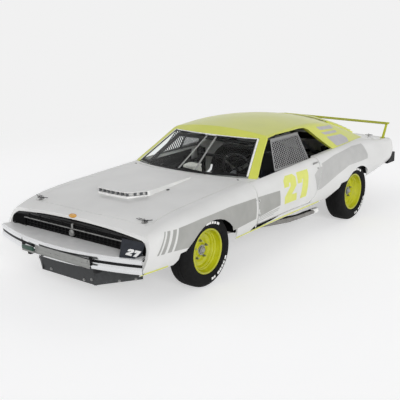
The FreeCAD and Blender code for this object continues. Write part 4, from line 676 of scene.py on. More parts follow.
# grille: slats, uprights, the bright bar and its plain cap
GRILLE_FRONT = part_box("grille")[0].y
slats = Shape()
for z in (.52, .545, .572, .604, .622):
    slats.block((-.632, GRILLE_FRONT - .016, z - .003), (.632, GRILLE_FRONT - .0005, z + .003), .0012)
for count, end, half, out, low, high in ((26, .624, .0025, .02, .508, .582), (8, .6, .003, .018, .594, .632)):
    for k in range(count + 1):
        x = -end + 2 * end * k / count
        slats.block((x - half, GRILLE_FRONT - out, low), (x + half, GRILLE_FRONT - .0008, high), .001)
slats.done("grille_slats", BLACK)
bright = Shape()
bright.block((-.645, GRILLE_FRONT - .034, .5835), (.634, GRILLE_FRONT - .016, .5925), .003)
bright.block((-.012, GRILLE_FRONT - .03, .56), (.012, GRILLE_FRONT - .014, .632), .003)
for x in (-.5, -.25, .25, .5):
    bright.block((x - .004, GRILLE_FRONT - .018, .585), (x + .004, GRILLE_FRONT - .0005, .591), .001)
bright.done("grille_bar", STEEL)
Shape().lathe([(-16, 30), (10, 30), (14, 28), (16, 24), (12, 21), (13, 10), (14, 0)], (0, GRILLE_FRONT - .03, .552),
    axis=FRONT, steps=48).done("grille_cap", STEEL)
place, normal = from_above(("hood", "nose_panel"), -.061, -2.277)
badge = Shape().lathe([(-2, 46), (4, 46), (6, 43), (6.6, 38), (7.8, 20), (8.2, 0)], (0, 0, 0), axis=UP, steps=64)
turn = normal.to_track_quat("Z", "Y").to_matrix()
for v in badge.bm.verts:
    v.co = turn @ vec(v.co.x, v.co.y * .56, v.co.z) + place
badge.done("nose_badge", AMBER)

# the left lamp's flat cover, standing on the bumper's shelf, with its number
COVER = [Vector(p) for p in ((.6, -2.338, .612), (.838, -2.318, .607), (.846, -2.365, .515), (.822, -2.434, .5035),
    (.7, -2.48, .5035))]
cover = Shape()
middle = sum(COVER, Vector()) / len(COVER)
face_out = (COVER[-1] - COVER[0]).cross(COVER[1] - COVER[0]).normalized()
cover.skin([[middle + (p - middle) * grow + face_out * shift for p in COVER] for grow, shift in ((1.0, -.004),
    (1.0, -.001), (.985, 0.0))])
cover.done("lamp_plate", NAVY, sharp=25)
along = (COVER[1] - COVER[0]).normalized()
rise = face_out.cross(along)
digits = Shape()
start = COVER[-1] + along * .04 + rise * .036
for digit in number(.128, .064):
    loop = [start + along * x + rise * z for x, z in digit]
    digits.skin([[p + face_out * .0002 for p in loop], [p + face_out * .0011 for p in loop]])
digits.done("lamp_number", WHITE_DECAL, slot="black_plastic")
screws = Shape()
for sign in (-1, 1):
    for z in (.508, .585):
        for x in (.655, .822):
            screws.stud(from_front("lamp_covers", sign * x, z), [(-1, 0), (-1, 4.5), (1.5, 4.5), (2.6, 3), (2.8, 0)],
                12)
screws.done("lamp_cover_screws", STEEL)

# air dam bolts
bolts = Shape()
for x, z in ((-.3, .325), (-.225, .185), (.2, .175), (.31, .33), (-.04, .335), (.3, .2)):
    bolts.stud(from_front("air_dam", x, z), [(-1, 0), (-1, 14), (2, 14), (3, 11), (8, 10), (10, 7), (10, 0)], 16)
for sign in (-1, 1):
    for x, z in ((.4, .3), (.52, .2), (.64, .22), (.6, .31)):
        bolts.stud(from_front("air_dam", sign * x, z), [(-1, 0), (-1, 12), (2, 12), (3, 9), (7, 8), (9, 6), (9, 0)], 16)
bolts.done("air_dam_bolts", STEEL)

# ------------------------------------------------------------------ hood
HOOD_BODY = "hood_lid"
vanes = Shape()
MOUTH = [(-.174, -1.829), (-.116, -1.832), (-.058, -1.835), (0, -1.838), (.058, -1.835), (.116, -1.832), (.174, -1.829)]
MOUTH += [(sign * x, y) for sign in (-1, 1) for x, y in ((.222, -1.773), (.252, -1.723), (.28, -1.676))]
for x, y in MOUTH:
    vanes.block((x - .0045, y + .004, .7975), (x + .0045, y + .034, .8345), .001)
vanes.done("scoop_vanes", GREY, HOOD_BODY, slot="white_paint")

pins, wires, plates = Shape(), Shape(), Shape()
for sign in (-1, 1):
    hit = from_above("hood", sign * .665, -2.12)
    plates.stud(hit, [(-1, 0), (-1, 30), (2.2, 30), (3, 27), (3, 9), (2, 8), (2, 0)], 32)
    pins.stud(hit, [(0, 0), (0, 6), (30, 6), (34, 4), (34.5, 0)], 16)
    place, normal = hit
    # a sprung wire clip: a ring over the pin, two long arms, and the lace that keeps it
    mid = place + normal * .018
    wires.tube([mid + vec(sign * .018 + .015 * cos(t), .02 * sin(t), .004 * sin(2 * t))
        for t in (2 * pi * k / 20 for k in range(20))], .0028, 8, closed=True)
    lace = [place + normal * up + vec(x * sign, y, 0) for up, x, y in ((.006, .02, .062), (.005, -.045, .058),
        (.004, -.095, .03))]
    for radius, run, tail in ((.0028, ((-.075, -.02, .01), (-.02, -.012, 0), (.02, 0, 0), (.075, .012, .014)), []),
            (.0026, ((-.08, .016, .004), (-.02, .014, 0), (.03, .008, 0), (.06, .036, .006)), []),
            (.0022, ((.06, .036, .006),), lace)):
        wires.tube(rounded([mid + vec(x * sign, y, z) for x, y, z in run] + tail, .02, 5), radius, 8)
plates.done("hood_pin_plates", STEEL, HOOD_BODY)
pins.done("hood_pins", STEEL, HOOD_BODY)
wires.done("hood_pin_clips", DARK, HOOD_BODY)
jets = Shape()
for sign in (-1, 1):
    place, normal = from_above("hood", sign * .33, -1.418)
    jets.block(place + vec(-.01, -.014, -.002), place + vec(.01, .014, .007), .003)
jets.done("washer_jets", BLACK, HOOD_BODY)

# ------------------------------------------------------------------ windscreen: trim, gaskets with painted shade, straps and wipers
FOOT, HEAD = (.7325, .829), (.56, 1.147)    # (x, z) of its lower and upper corners


def on_screen(points, lift=0.0):
    """Places on the windscreen under (x, z) points seen from the front."""
    hits = [from_front("windshield", x, z) for x, z in points]
    return [(place + normal * lift, normal) for place, normal in hits if place]


def between(a, b, count):
    """Points in even steps from a to b, both included."""
    return [tuple(p + (q - p) * k / count for p, q in zip(a, b)) for k in range(count + 1)]


def screen_side(sign, inset):
    """Places up one edge of the windscreen, that far in from it."""
    slope = (HEAD[0] - FOOT[0]) / (HEAD[1] - FOOT[1])
    return on_screen([(sign * (FOOT[0] + slope * (z - FOOT[1]) - inset), z) for z, in between((.842,), (1.139,), 24)])


def screen_head(inset):
    """Places along the windscreen's arched head, that far below it."""
    arched = [(x, HEAD[1] + .009 * (1 - (x / HEAD[0]) ** 2) - inset) for x, in between((-.545,), (.545,), 32)]
    return on_screen(arched)


trim = Shape()
trim.strip(screen_side(1, .014), .02, .006)
trim.strip(screen_side(-1, .004), .006, .006)
trim.strip(screen_head(.006), .009, .006)
trim.done("screen_trim", TRIM)
# the left side's black is the real gasket; on the right the trim is narrow and the black beside it wide, painted shade
# on the far pillar's inner face
gasket = Shape()
gasket.strip(screen_side(1, .03), .01, .003)
gasket.strip(screen_side(-1, .018), .02, .004)
gasket.strip(screen_head(.016), .012, .003)
gasket.strip(on_screen(between((-.7, .853), (.7, .853), 40)), .03, .002)
gasket.done("screen_gasket_and_painted_shade", BLACK)
straps = Shape()
STRAPS = (((-.042, .845), (-.03, 1.147)), ((.168, .845), (.088, 1.147)))
for low, high in STRAPS:
    straps.strip(on_screen(between(low, high, 16)), .02, .002)
straps.done("screen_straps", PLATE)
bolts = Shape()
for low, high in STRAPS:
    run = between(low, high, 50)
    for hit in on_screen([run[3], run[47]], .0018):
        bolts.stud(hit, [(0, 0), (0, 6), (2, 6), (3.5, 4), (3.8, 0)], 12)
bolts.done("screen_strap_bolts", STEEL)
arms, blades = Shape(), Shape()
for pivot, tip in (((.3, .846), (.02, .8605)), ((.62, .848), (.335, .8625))):
    run = on_screen(between(pivot, tip, 12), .004)
    blades.strip(on_screen(between((pivot[0] - .05, pivot[1] + .009), (tip[0], tip[1] + .009), 14), .002), .009, .007)
    arms.tube([p + n * (.004 + .008 * sin(pi * i / 12)) for i, (p, n) in enumerate(run)], .0042, 10, flat=.7)
    arms.stud(run[0], [(-4, 12), (12, 11), (16, 8), (17, 0)], 20)
arms.done("wiper_arms", BLACK)
blades.done("wiper_blades", RUBBER)

# ------------------------------------------------------------------ window nets
NET_X, NET_Z = (.7815, .6215), (.835, 1.128)


def net_point(y, t, sign, lift=0.0):
    """A point of a net's plane, t from its foot to its head."""
    slope = vec(NET_Z[1] - NET_Z[0], 0, NET_X[0] - NET_X[1]).normalized()
    x = NET_X[0] + (NET_X[1] - NET_X[0]) * t
    z = NET_Z[0] + (NET_Z[1] - NET_Z[0]) * t
    return vec(sign * (x + slope.x * lift), y, z + slope.z * lift)


NET_FOOT, HATCH_REACH = .03, 1.2    # where the hatching begins, and how far out its lines start
NET_HEIGHT = hypot(NET_X[0] - NET_X[1], NET_Z[1] - NET_Z[0])


def net_front(t):
    """The net's front edge follows the pillar."""
    return -.256 + .152 * t


def ribbon(shape, a, b, width, sign, lift, thick=.0012):
    """A flat ribbon between two (y, t) points of the net's plane; returns its area."""
    run = vec(b[0] - a[0], (b[1] - a[1]) * NET_HEIGHT)
    if run.length < .004:
        return 0.0
    across = vec(-run.y, run.x).normalized() * (width / 2)
    loops = []
    for k in range(5):
        y, t = a[0] + (b[0] - a[0]) * k / 4, a[1] + (b[1] - a[1]) * k / 4
        corners = ((y + across.x, t + across.y / NET_HEIGHT), (y - across.x, t - across.y / NET_HEIGHT))
        loops.append([net_point(*corners[0], sign, lift), net_point(*corners[1], sign, lift),
            net_point(*corners[1], sign, lift + thick), net_point(*corners[0], sign, lift + thick)])
    shape.skin(loops)
    return run.length * width


def hatch(shape, lean, pitch, width, rear, front, high, sign, lift=0.0):
    """Parallel slanting ribbons up to a height, between a rear limit and a front one; returns their area."""
    area, start = 0.0, -HATCH_REACH
    while start < HATCH_REACH:
        hits = []
        for k in range(201):
            t = NET_FOOT + (high - NET_FOOT) * k / 200
            y = start + lean * (t - NET_FOOT) * NET_HEIGHT
            if max(net_front(t), front) <= y <= rear:
                hits.append((y, t))
        if len(hits) > 4:
            area += ribbon(shape, hits[0], hits[-1], width, sign, lift)
        start += pitch
    return area


REAR_EDGE, STRAP_Y, OPEN = .446, .115, -9    # OPEN is in front of every net
for label, sign in SIDES:
    net = Shape()
    if sign > 0:
        area = hatch(net, 1.5, .046, .0058, REAR_EDGE, OPEN, .88, sign)
        area += hatch(net, -1.5, .046, .0058, REAR_EDGE, OPEN, .88, sign, .0012)
        bands = [(.95, .04), (.915, .01), (.015, .022)]
        uprights = [(REAR_EDGE - .006, .014)]
        look = MESH
    else:
        area = hatch(net, -1.0, .036, .016, STRAP_Y, OPEN, .93, sign)
        area += hatch(net, 1.0, .036, .016, REAR_EDGE, STRAP_Y, .93, sign)
        bands = [(.96, .026), (.015, .022)]
        uprights = [(REAR_EDGE - .006, .016), (STRAP_Y, .04)]
        look = WEBBING
    for t, width in bands:
        area += ribbon(net, (net_front(t), t), (REAR_EDGE, t), width, sign, .0024, .0014)
    for y, width in uprights:
        area += ribbon(net, (y, 0), (y, 1), width, sign, .0026, .0014)
    area += ribbon(net, (net_front(0) + .006, 0), (net_front(1) + .006, 1), .014, sign, .0026, .0014)
    piece = net.done(f"window_net_{label}", look, slot="net_fabric", sharp=30)
    if sign > 0:
        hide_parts("window_nets")
rods = Shape()
for sign in (-1, 1):
    for t in (.985, .012):
        y0, y1 = net_front(t) - .004, REAR_EDGE + .004
        rods.tube([net_point(y, t, sign, .004) for y in (y0, (y0 + y1) / 2, y1)], .0035, 12)
rods.done("window_net_rods", STEEL)

# ------------------------------------------------------------------ steering wheel
STEERING_BODY = "steering_wheel_body"
WHEEL_AT, WHEEL_AXIS = vec(.39, -.35, .82), vec(0, cos(radians(16)), sin(radians(16)))
ACROSS = vec(1, 0, 0)
UPWARD = WHEEL_AXIS.cross(ACROSS)


def around(radius, angle, along=0.0):
    """A point round the wheel's hub, the angle in degrees."""
    a = radians(angle)
    return WHEEL_AT + ACROSS * (radius * cos(a)) + UPWARD * (radius * sin(a)) + WHEEL_AXIS * along


rim = Shape().tube([around(.181, 5 * k) for k in range(72)], .0125, 16, closed=True)
piece = rim.done("steering_rim", LEATHER, STEERING_BODY)
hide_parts("steering_wheel")
seams = Shape()
for k in range(3):
    points = [around(.181 + .0128 * cos(2 * pi * j / 16), 90 + 120 * k + 24, .0128 * sin(2 * pi * j / 16))
        for j in range(16)]
    seams.tube(points, .0011, 6, closed=True)
seams.done("steering_seams", CANVAS, STEERING_BODY)
spokes = Shape()
for k in range(3):
    angle = 90 + 120 * k
    a = radians(angle)
    out = ACROSS * cos(a) + UPWARD * sin(a)
    side = WHEEL_AXIS.cross(out)
    loops = []
    for r, w, along in ((.03, .022, -.028), (.06, .019, -.026), (.11, .016, -.017), (.15, .015, -.006),
            (.176, .017, 0)):
        middle = WHEEL_AT + out * r + WHEEL_AXIS * along
        loops.append([middle + side * s + WHEEL_AXIS * t for s, t in ((w, .002), (w - .002, .003), (.002 - w, .003),
            (-w, .002), (-w, -.002), (w, -.002))])
    spokes.skin(loops)
spokes.done("steering_spokes", STEEL, STEERING_BODY)
Shape().lathe([(-45, 14), (-45, 36), (-30, 38), (-26, 44), (-22, 44), (-19, 36), (-8, 34), (-4, 28), (-3, 0)], WHEEL_AT,
    axis=WHEEL_AXIS, steps=48).done("steering_hub", BLACK, STEERING_BODY)
marks = Shape()
for k in range(6):
    marks.lathe([(-22.5, 0), (-22.5, 3.2), (-19.5, 3.2), (-19, 0)], around(.0402, 30 + 60 * k), axis=WHEEL_AXIS,
        steps=10)
marks.done("steering_bolts", STEEL, STEERING_BODY)

# ------------------------------------------------------------------ dashboard
panel = Shape()
panel.block((.1, -.566, .69), (.635, -.556, .772), .004)
panel.block((-.62, -.566, .692), (.06, -.557, .768), .004)
panel.done("dash_panels", ALLOY, slot="black_plastic")
bezels, faces, needles, switches = Shape(), Shape(), Shape(), Shape()
# the gauges: where they stand in y, and each one's (x, z, radius in mm)
GAUGE_Y = -.556
GAUGES = ((.39, .738, 34), (.3, .735, 26), (.48, .735, 26), (.225, .733, 22), (.552, .733, 22), (.16, .733, 20),
    (.604, .728, 18))
for x, z, r in GAUGES:
    bezels.lathe([(0, r * .86), (10, r * .9), (12, r), (6, r * 1.04), (0, r * 1.04)], (x, GAUGE_Y, z), axis=REAR,
        steps=40, loop=True)
    faces.lathe([(2, 0), (2, r * .88), (-2, r * .88), (-2, 0)], (x, GAUGE_Y, z), axis=REAR, steps=40)
    for k in range(9):
        t = radians(-120 + 30 * k)
        p = (x - sin(t) * r * .00072, -.5525, z + cos(t) * r * .00072)
        needles.plate(p, (.0007, .0006, .0022), turn=Matrix.Rotation(t, 3, "Y"))
    t = radians(35)
    p = (x + sin(t) * r * .0003, -.5518, z + cos(t) * r * .0003)
    needles.plate(p, (.0008, .0006, r * .00036), turn=Matrix.Rotation(t, 3, "Y"))
bezels.done("gauge_bezels", STEEL)
faces.done("gauge_faces", BLACK)
needles.done("gauge_marks", WHITE_DECAL)
for k in range(8):
    x = -.02 - .055 * k
    switches.lathe([(0, 9), (3, 9), (4, 6), (4, 0)], (x, -.557, .735), axis=REAR, steps=16)
    switches.tube([(x, -.554, .735), (x, -.541, .741)], [.0032, .0024], 10)
switches.done("dash_switches", STEEL)
# a crumpled fresh-air box on top of the dash
box = Shape().block((-.08, -.685, .798), (.085, -.575, .884), .014, steps=3)
bmesh.ops.subdivide_edges(box.bm, edges=box.bm.edges[:], cuts=3, use_grid_fill=True)
for v in box.bm.verts:
    p = v.co
    fold = sin(p.x * 96 + p.z * 70) * .004 + sin(p.y * 120 - p.x * 60 + 1.3) * .0035 + sin(p.z * 150 + p.y * 40) * .003
    if p.z > .8:
        v.co += (p - vec(0, -.63, .84)).normalized() * fold
box.done("air_box", CANVAS, sharp=70)
Shape().block((-.1, -.7, .7935), (.105, -.56, .7985), .002).done("air_box_base", DARK)
pad = Shape()
pad.skin([[vec(x, y, z) for y, z in ((-.795, .778), (-.7, .7985), (-.6, .7925), (-.545, .764), (-.5425, .76),
    (-.6, .787), (-.7, .793), (-.795, .773))] for x in (-.638, -.3, 0, .3, .638)])
pad.done("dash_pad", DASH, sharp=50)
light = Shape()
for x0, x1, y0, y1 in ((.14, .3, -.76, -.7), (.34, .48, -.775, -.715), (.5, .575, -.7, -.64)):
    light.block((x0, y0, .7965), (x1, y1, .812), .005)
light.done("dash_boxes", GREY)

# ------------------------------------------------------------------ bucket seat, pads and harness
SEAT_X, SEAT_HALF = .39, .222


def seat_line(t):
    """(y, z) of the seat's inner line, from the front of its base to the top of its back."""
    path = [(-.176, .492), (-.05, .478), (.1, .468), (.18, .463), (.222, .478), (.245, .54), (.275, .68), (.305, .82),
        (.335, .96), (.347, 1.005)]
    at = t * (len(path) - 1)
    i = min(int(at), len(path) - 2)
    f = at - i
    return vec(0, path[i][0] * (1 - f) + path[i + 1][0] * f, path[i][1] * (1 - f) + path[i + 1][1] * f)


shell, loops = Shape(), []
ROWS = 44
for k in range(ROWS + 1):
    t = k / ROWS
    p = seat_line(t)
    before, after = seat_line(max(t - .02, 0)), seat_line(min(t + .02, 1))
    along = (after - before).normalized()
    out = vec(1, 0, 0).cross(along)
    head = min(max((t - .8) / .2, 0), 1)
    half = SEAT_HALF - .004 - .075 * head ** 2
    side = (.1 if t < .35 else .115) * (1 - .55 * head) * min(1, .35 + t * 5)
    profile = [(-half, side), (-half + .004, side * .5), (-half + .01, .022), (-half + .042, .001), (-half * .5, -.004),
        (0, -.006), (half * .5, -.004), (half - .042, .001), (half - .01, .022), (half - .004, side * .5), (half, side)]
    inner = [vec(SEAT_X + x, p.y, p.z) + out * (d + .003) for x, d in profile]
    outer = [vec(SEAT_X + x * 1.012, p.y, p.z) + out * (d - .005) for x, d in reversed(profile)]
    loops.append(inner + outer)
shell.skin(loops)
piece = shell.done("seat_shell", BLACK, slot="seat_black", sharp=50)
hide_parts("driver_seat")
frame_bars = Shape()
for sign in (-1, 1):
    x = SEAT_X + sign * .185
    frame_bars.tube(rounded([(x, -.165, .372), (x, .235, .372), (x, .345, .86)], .05, 6), .012, 12)
    for y, z in ((-.14, .462), (.16, .45)):
        frame_bars.tube([(x, y, .357), (x, y, z)], .011, 12)
for y, z in ((-.14, .372), (.16, .372), (.31, .72)):
    frame_bars.tube([(SEAT_X - .185, y, z), (SEAT_X + .185, y, z)], .011, 12)
frame_bars.done("seat_frame", DARK)


def cushion(name, centre, size, turn, move=.01):
    """A stuffed pad, swollen by pressure."""
    shape = Shape()
    w, l, h = (c / 2 for c in size)
    top, low = [], []
    steps = 10
    for i in range(steps + 1):
        for j in range(steps + 1):
            a, b = -1 + 2 * i / steps, -1 + 2 * j / steps
            pull = 1 - .05 * (1 - a * a) * (b * b) - .05 * (1 - b * b) * (a * a)
            edge = (1 - a ** 6) * (1 - b ** 6)
            lift_up = h * (.35 + .65 * edge * (.82 + .18 * (1 - a * a) * (1 - b * b)))
            top.append(vec(a * w * pull, b * l * pull, lift_up))
            low.append(vec(a * w * pull, b * l * pull, -h * (.35 + .45 * edge)))
    verts = [[shape.bm.verts.new(turn @ p + Vector(centre)) for p in side] for side in (top, low)]
    n = steps + 1
    for side in verts:
        for i in range(steps):
            for j in range(steps):
                shape.bm.faces.new((side[i * n + j], side[(i + 1) * n + j], side[(i + 1) * n + j + 1],
                    side[i * n + j + 1]))
    ring = ([i * n for i in range(n)] + [(n - 1) * n + j for j in range(1, n)]
        + [i * n + n - 1 for i in range(n - 2, -1, -1)] + [j for j in range(n - 2, 0, -1)])
    for a, b in zip(ring, ring[1:] + ring[:1]):
        shape.bm.faces.new((verts[0][a], verts[0][b], verts[1][b], verts[1][a]))
    piece = shape.done(name, FOAM, sharp=180)
    swell(piece, move)
    finer = piece.modifiers.new("finer", "SUBSURF")
    finer.levels = finer.render_levels = 1


PAD_VOXEL, PAD_PRESSURE, PAD_FRAMES = .0085, 4.0, 15


def swell(piece, move):
    """Cloth pressure on a remeshed copy, its movement capped, applied to the mesh."""
    remesh = piece.modifiers.new("even", "REMESH")
    remesh.mode, remesh.voxel_size, remesh.use_smooth_shade = "VOXEL", PAD_VOXEL, True
    view = bpy.context.evaluated_depsgraph_get()
    even = bpy.data.meshes.new_from_object(piece.evaluated_get(view))
    piece.modifiers.clear()
    work = bpy.data.objects.new("pad_work", even)
    scene.collection.objects.link(work)
    rest = [v.co.copy() for v in even.vertices]
    cloth = work.modifiers.new("cloth", "CLOTH")
    cloth.settings.use_pressure = True
    cloth.settings.uniform_pressure_force = PAD_PRESSURE
    cloth.settings.effector_weights.gravity = 0.0
    for step in range(1, PAD_FRAMES + 1):
        scene.frame_set(step)
    view = bpy.context.evaluated_depsgraph_get()
    blown = bpy.data.meshes.new_from_object(work.evaluated_get(view))
    for v, start in zip(blown.vertices, rest):
        shift = v.co - start
        if shift.length > move:
            v.co = start + shift.normalized() * move
    for polygon in blown.polygons:
        polygon.use_smooth = True
    blown.materials.clear()
    blown.materials.append(piece.data.materials[0])
    piece.data = blown
    bpy.data.objects.remove(work)
    scene.frame_set(1)


BACK_TURN = Matrix.Rotation(radians(90 - 12), 3, "X")
cushion("seat_base_pad", (SEAT_X, .015, .497), (.335, .345, .042), Matrix.Rotation(radians(-4), 3, "X"))
cushion("seat_back_pad", (SEAT_X, .258, .73), (.315, .38, .034), BACK_TURN)
cushion("seat_head_pad", (SEAT_X, .302, .945), (.205, .12, .032), BACK_TURN)
for k, x in enumerate((SEAT_X - .178, SEAT_X + .178)):
    cushion(f"seat_thigh_pad_{k}", (x, .02, .528), (.034, .3, .055), Matrix.Identity(3), move=.005)
    cushion(f"seat_rib_pad_{k}", (x, .225, .735), (.034, .33, .06), BACK_TURN, move=.005)

webbing, buckles = Shape(), Shape()
for sign in (-1, 1):
    x = SEAT_X + sign * .075
    path = rounded([(x + sign * .01, .418, .905), (x, .365, .925), (x - sign * .004, .318, .9),
        (x - sign * .012, .238, .72), (SEAT_X + sign * .045, .165, .575), (SEAT_X + sign * .02, .118, .535)], .04, 5)
    webbing.strip([(p, vec(0, -1, .25).normalized() if i > 3 else vec(0, -.3, 1).normalized())
        for i, p in enumerate(path)], .048, .0025)
    path = rounded([(SEAT_X + sign * .205, .16, .5), (SEAT_X + sign * .15, .14, .565),
        (SEAT_X + sign * .08, .112, .548), (SEAT_X + sign * .03, .108, .535)], .04, 5)
    webbing.strip([(p, vec(-sign * .2, -.5, 1).normalized()) for p in path], .048, .0025)
    buckles.block((x - .028, .262, .742), (x + .028, .268, .772), .003, turn=Matrix.Rotation(radians(-14), 3, "X"))
webbing.strip([(vec(SEAT_X, .1 - .03 * k, .534 - .004 * k), vec(0, -.1, 1).normalized()) for k in range(6)], .046,
    .0025)
webbing.done("harness", HARNESS, sharp=50)
buckles.lathe([(0, 0), (0, 34), (10, 34), (16, 28), (18, 12), (20, 0)], (SEAT_X, .112, .536), axis=(0, -.35, .94),
    steps=36)
buckles.done("harness_buckles", STEEL)

# ------------------------------------------------------------------ doors
for label, sign in SIDES:
    body = f"{label}_door"
    card = Shape()
    card.skin([[vec(sign * x, y, z) for y, z in ((-.665, .425), (.2, .425), (.33, .5), (.36, .6), (.37, .8),
        (-.665, .775))] for x in (.8115, .8075)])
    for z in (.5, .56, .62, .68, .74):
        card.block((sign * .8035, -.64, z - .006), (sign * .809, .33 if z > .55 else .27, z + .006), .0025)
    card.done(f"door_card_{label}", BLACK, body, sharp=30)
    bits = Shape()
    bits.tube(rounded([(sign * .808, -.3, .7), (sign * .793, -.29, .7), (sign * .793, -.18, .712),
        (sign * .808, -.17, .712)], .012, 4), .005, 10)
    for y, z in ((-.64, .45), (-.2, .44), (.26, .47), (.34, .77), (-.64, .75), (-.05, .77)):
        bits.lathe([(0, 0), (0, 6), (1.5, 6), (2.5, 4), (2.8, 0)], (sign * .8075, y, z), axis=(-sign, 0, 0), steps=12)
    bits.done(f"door_pull_{label}", STEEL, body)
    # outside handle: a plate with a dished middle and a bar, and the lock
    place, normal = from_side(f"door_{label}", sign, .405, .818)
    handle = Shape()
    handle.plate(place, (0, .052, .013), .004)
    for v in handle.bm.verts:
        local = v.co - place
        v.co = place + vec(local.x * .12, local.y, local.z) + normal * .0015
    handle.plate(place, (.003, .048, .01), .002)
    handle.tube(rounded([place + normal * out + vec(0, y, 0) for out, y in ((0, -.046), (.011, -.036), (.011, .036),
        (0, .046))], .008, 4), .006, 12, flat=.7)
    handle.done(f"door_handle_{label}", STEEL, body, slot="chrome")
    barrel = Shape()
    barrel.stud(from_side(f"door_{label}", sign, .43, .765), [(-1, 0), (-1, 10), (2, 10), (3, 8), (2, 6), (3.5, 5),
        (3.5, 0)], 24)
    barrel.done(f"door_lock_{label}", STEEL, body, slot="chrome")

# inside mirror on the windscreen bar
mirror = Shape()
mirror.block((.1, -.232, 1.022), (.5, -.214, 1.062), .006)
for x in (.2, .4):
    mirror.tube([(x, -.205, 1.045), (x, -.178, 1.066)], .006, 10)
mirror.done("cabin_mirror", BLACK)
Shape().block((.106, -.2135, 1.027), (.494, -.2125, 1.057), .0004).done("cabin_mirror_face", CHROME)
# padding on the bars beside the driver's head
sleeve = Shape()
pad_line = [vec(.583, .05 + .06 * k, 1.092 + .003 * k) for k in range(6)]
sleeve.tube(pad_line, .034, 20)
piece = sleeve.done("cage_padding", FOAM)

# ------------------------------------------------------------------ tail
lenses, rings, white_lens = Shape(), Shape(), Shape()
decal("tail_lamp_panel", [[(-.8, .655), (.8, .655), (.815, .755), (-.815, .755)]], "tail_panel", BLACK, axis="y",
    step=(.05, .02))


def tail_block(shape, x0, x1, z0, z1, height, soft=.004):
    """A rounded block standing on the slanted tail panel."""
    corners = [from_rear("tail_panel", x, z)[0] for x, z in ((x0, z0), (x1, z0), (x1, z1), (x0, z1))]
    normal = from_rear("tail_panel", (x0 + x1) / 2, (z0 + z1) / 2)[1]
    middle = sum(corners, Vector()) / 4
    rows = []
    for inset, out in ((0, -.001), (0, height * .55), (soft * .5, height * .85), (soft, height)):
        rows.append([c + (middle - c).normalized() * inset + normal * out for c in corners])
    shape.skin(rows)


for sign in (-1, 1):
    for k in range(3):
        x0 = .36 + .145 * k
        tail_block(lenses, sign * x0, sign * (x0 + .135), .668, .742, .01)
        for j in range(1, 7):
            x = x0 + .135 * j / 7
            tail_block(lenses, sign * (x - .0015), sign * (x + .0015), .672, .738, .0115, .001)
    tail_block(white_lens, sign * .215, sign * .335, .674, .736, .009)
lenses.done("tail_lenses", RED_LENS, sharp=30)
white_lens.done("reversing_lenses", DIAL, slot="chrome", sharp=30)
for sign in (-1, 1):
    for x0, x1 in ((.205, .345), (.352, .8)):
        for z in (.6575, .7475):
            tail_block(rings, sign * x0, sign * x1, z, z + .005, .008, .001)
        for x in (x0, x1):
            tail_block(rings, sign * (x - .0025), sign * (x + .0025), .6575, .7525, .008, .001)
rings.done("tail_lamp_frames", STEEL, slot="chrome", sharp=30)
hub = Shape()
hub.stud(from_rear("tail_panel", 0, .705), [(-2, 0), (-2, 30), (4, 30), (7, 26), (7, 12), (10, 10), (11, 0)], 40)
hub.done("deck_lock", STEEL, slot="chrome")

# deck pins and the filler cap
DECK_BODY = "deck_lid"
pins, plates, clips = Shape(), Shape(), Shape()
for sign in (-1, 1):
    hit = from_above("decklid", sign * .58, 2.345)
    plates.stud(hit, [(-1, 0), (-1, 26), (2, 26), (3, 23), (3, 8), (2, 0)], 32)
    pins.stud(hit, [(0, 0), (0, 5.5), (28, 5.5), (32, 4), (32.5, 0)], 16)
    mid = hit[0] + hit[1] * .016
    clips.tube(rounded([mid + Vector(p) for p in ((-.045, -.01, 0), (0, .009, 0), (.05, .012, 0), (.055, -.004, 0),
        (.01, -.01, 0))], .012, 4), .0022, 8)
plates.done("deck_pin_plates", STEEL, DECK_BODY)
pins.done("deck_pins", STEEL, DECK_BODY)
clips.done("deck_pin_clips", DARK, DECK_BODY)
filler = Shape()
filler.stud(from_above("quarter_panel_right", -.872, 1.86), [(-2, 0), (-2, 36), (4, 36), (7, 32), (7, 20), (12, 18),
    (13, 10), (13, 0)], 48)
filler.done("filler_cap", STEEL, slot="chrome")

# rear bumper's bolts
caps = Shape()
for x in (-.62, -.25, .25, .62):
    caps.stud(from_rear("rear_bumper", x, .57), [(-1, 0), (-1, 11), (2, 11), (5, 7), (6, 0)], 20)
caps.done("rear_bumper_bolts", STEEL)

# exhaust tips: thin bright rims, and black discs a little inside them as painted shade of the hollow bores
tips, bores = Shape(), Shape()
for x, y, z in ((.82, .56, .246), (.738, .54, .206)):
    near = vec(x - .01, y - .1, z + .001)
    axis = (vec(x, y, z) - near).normalized()
    tips.lathe([(-110, 30.2), (-110, 33), (10, 33.5), (12, 31.5), (10, 29), (-4, 28.5), (-4, 0), (-6, 0), (-6, 30.2)],
        (x, y, z), axis=axis, steps=40)
    bores.lathe([(.2, 0), (.2, 27.8), (1.2, 27.8), (1.4, 0)], (x, y, z), axis=axis, steps=32)
tips.done("exhaust_tips", TRIM, slot="bare_steel")
bores.done("exhaust_bore_painted_shade", DEEP_BLACK_AND_PAINTED_SHADE)

# ------------------------------------------------------------------ engine bay
covers, fins, cleaner, intake, hoses, alloy, dark, steel = (Shape() for _ in range(8))
VALVE_TOP = .7595
for sign in (-1, 1):
    covers.block((sign * .135, -1.8, .706), (sign * .262, -1.27, .76), .016, steps=4)
    for k in range(9):
        y = -1.77 + .06 * k
        fins.block((sign * .145, y - .004, .757), (sign * .252, y + .004, .7635), .0015)
    for y in (-1.78, -1.62, -1.45, -1.29):
        steel.lathe([(0, 0), (0, 7), (4, 7), (5, 4), (5, 0)], (sign * .155, y, VALVE_TOP), axis=UP, steps=6)
    steel.lathe([(0, 0), (0, 20), (6, 20), (10, 14), (10, 0)], (sign * .2, -1.32, VALVE_TOP), axis=UP, steps=32)
    for k in range(4):
        y = -1.74 + .135 * k
        dark.tube(rounded([(sign * .268, y, .6), (sign * .315, y, .6), (sign * .345, y + .03, .52),
            (sign * .35, y + .05, .4)], .03, 5), .019, 14)
    dark.tube(rounded([(sign * .35, -1.75, .4), (sign * .352, -1.3, .36), (sign * .33, -1.2, .3)], .05, 5), .03, 16)
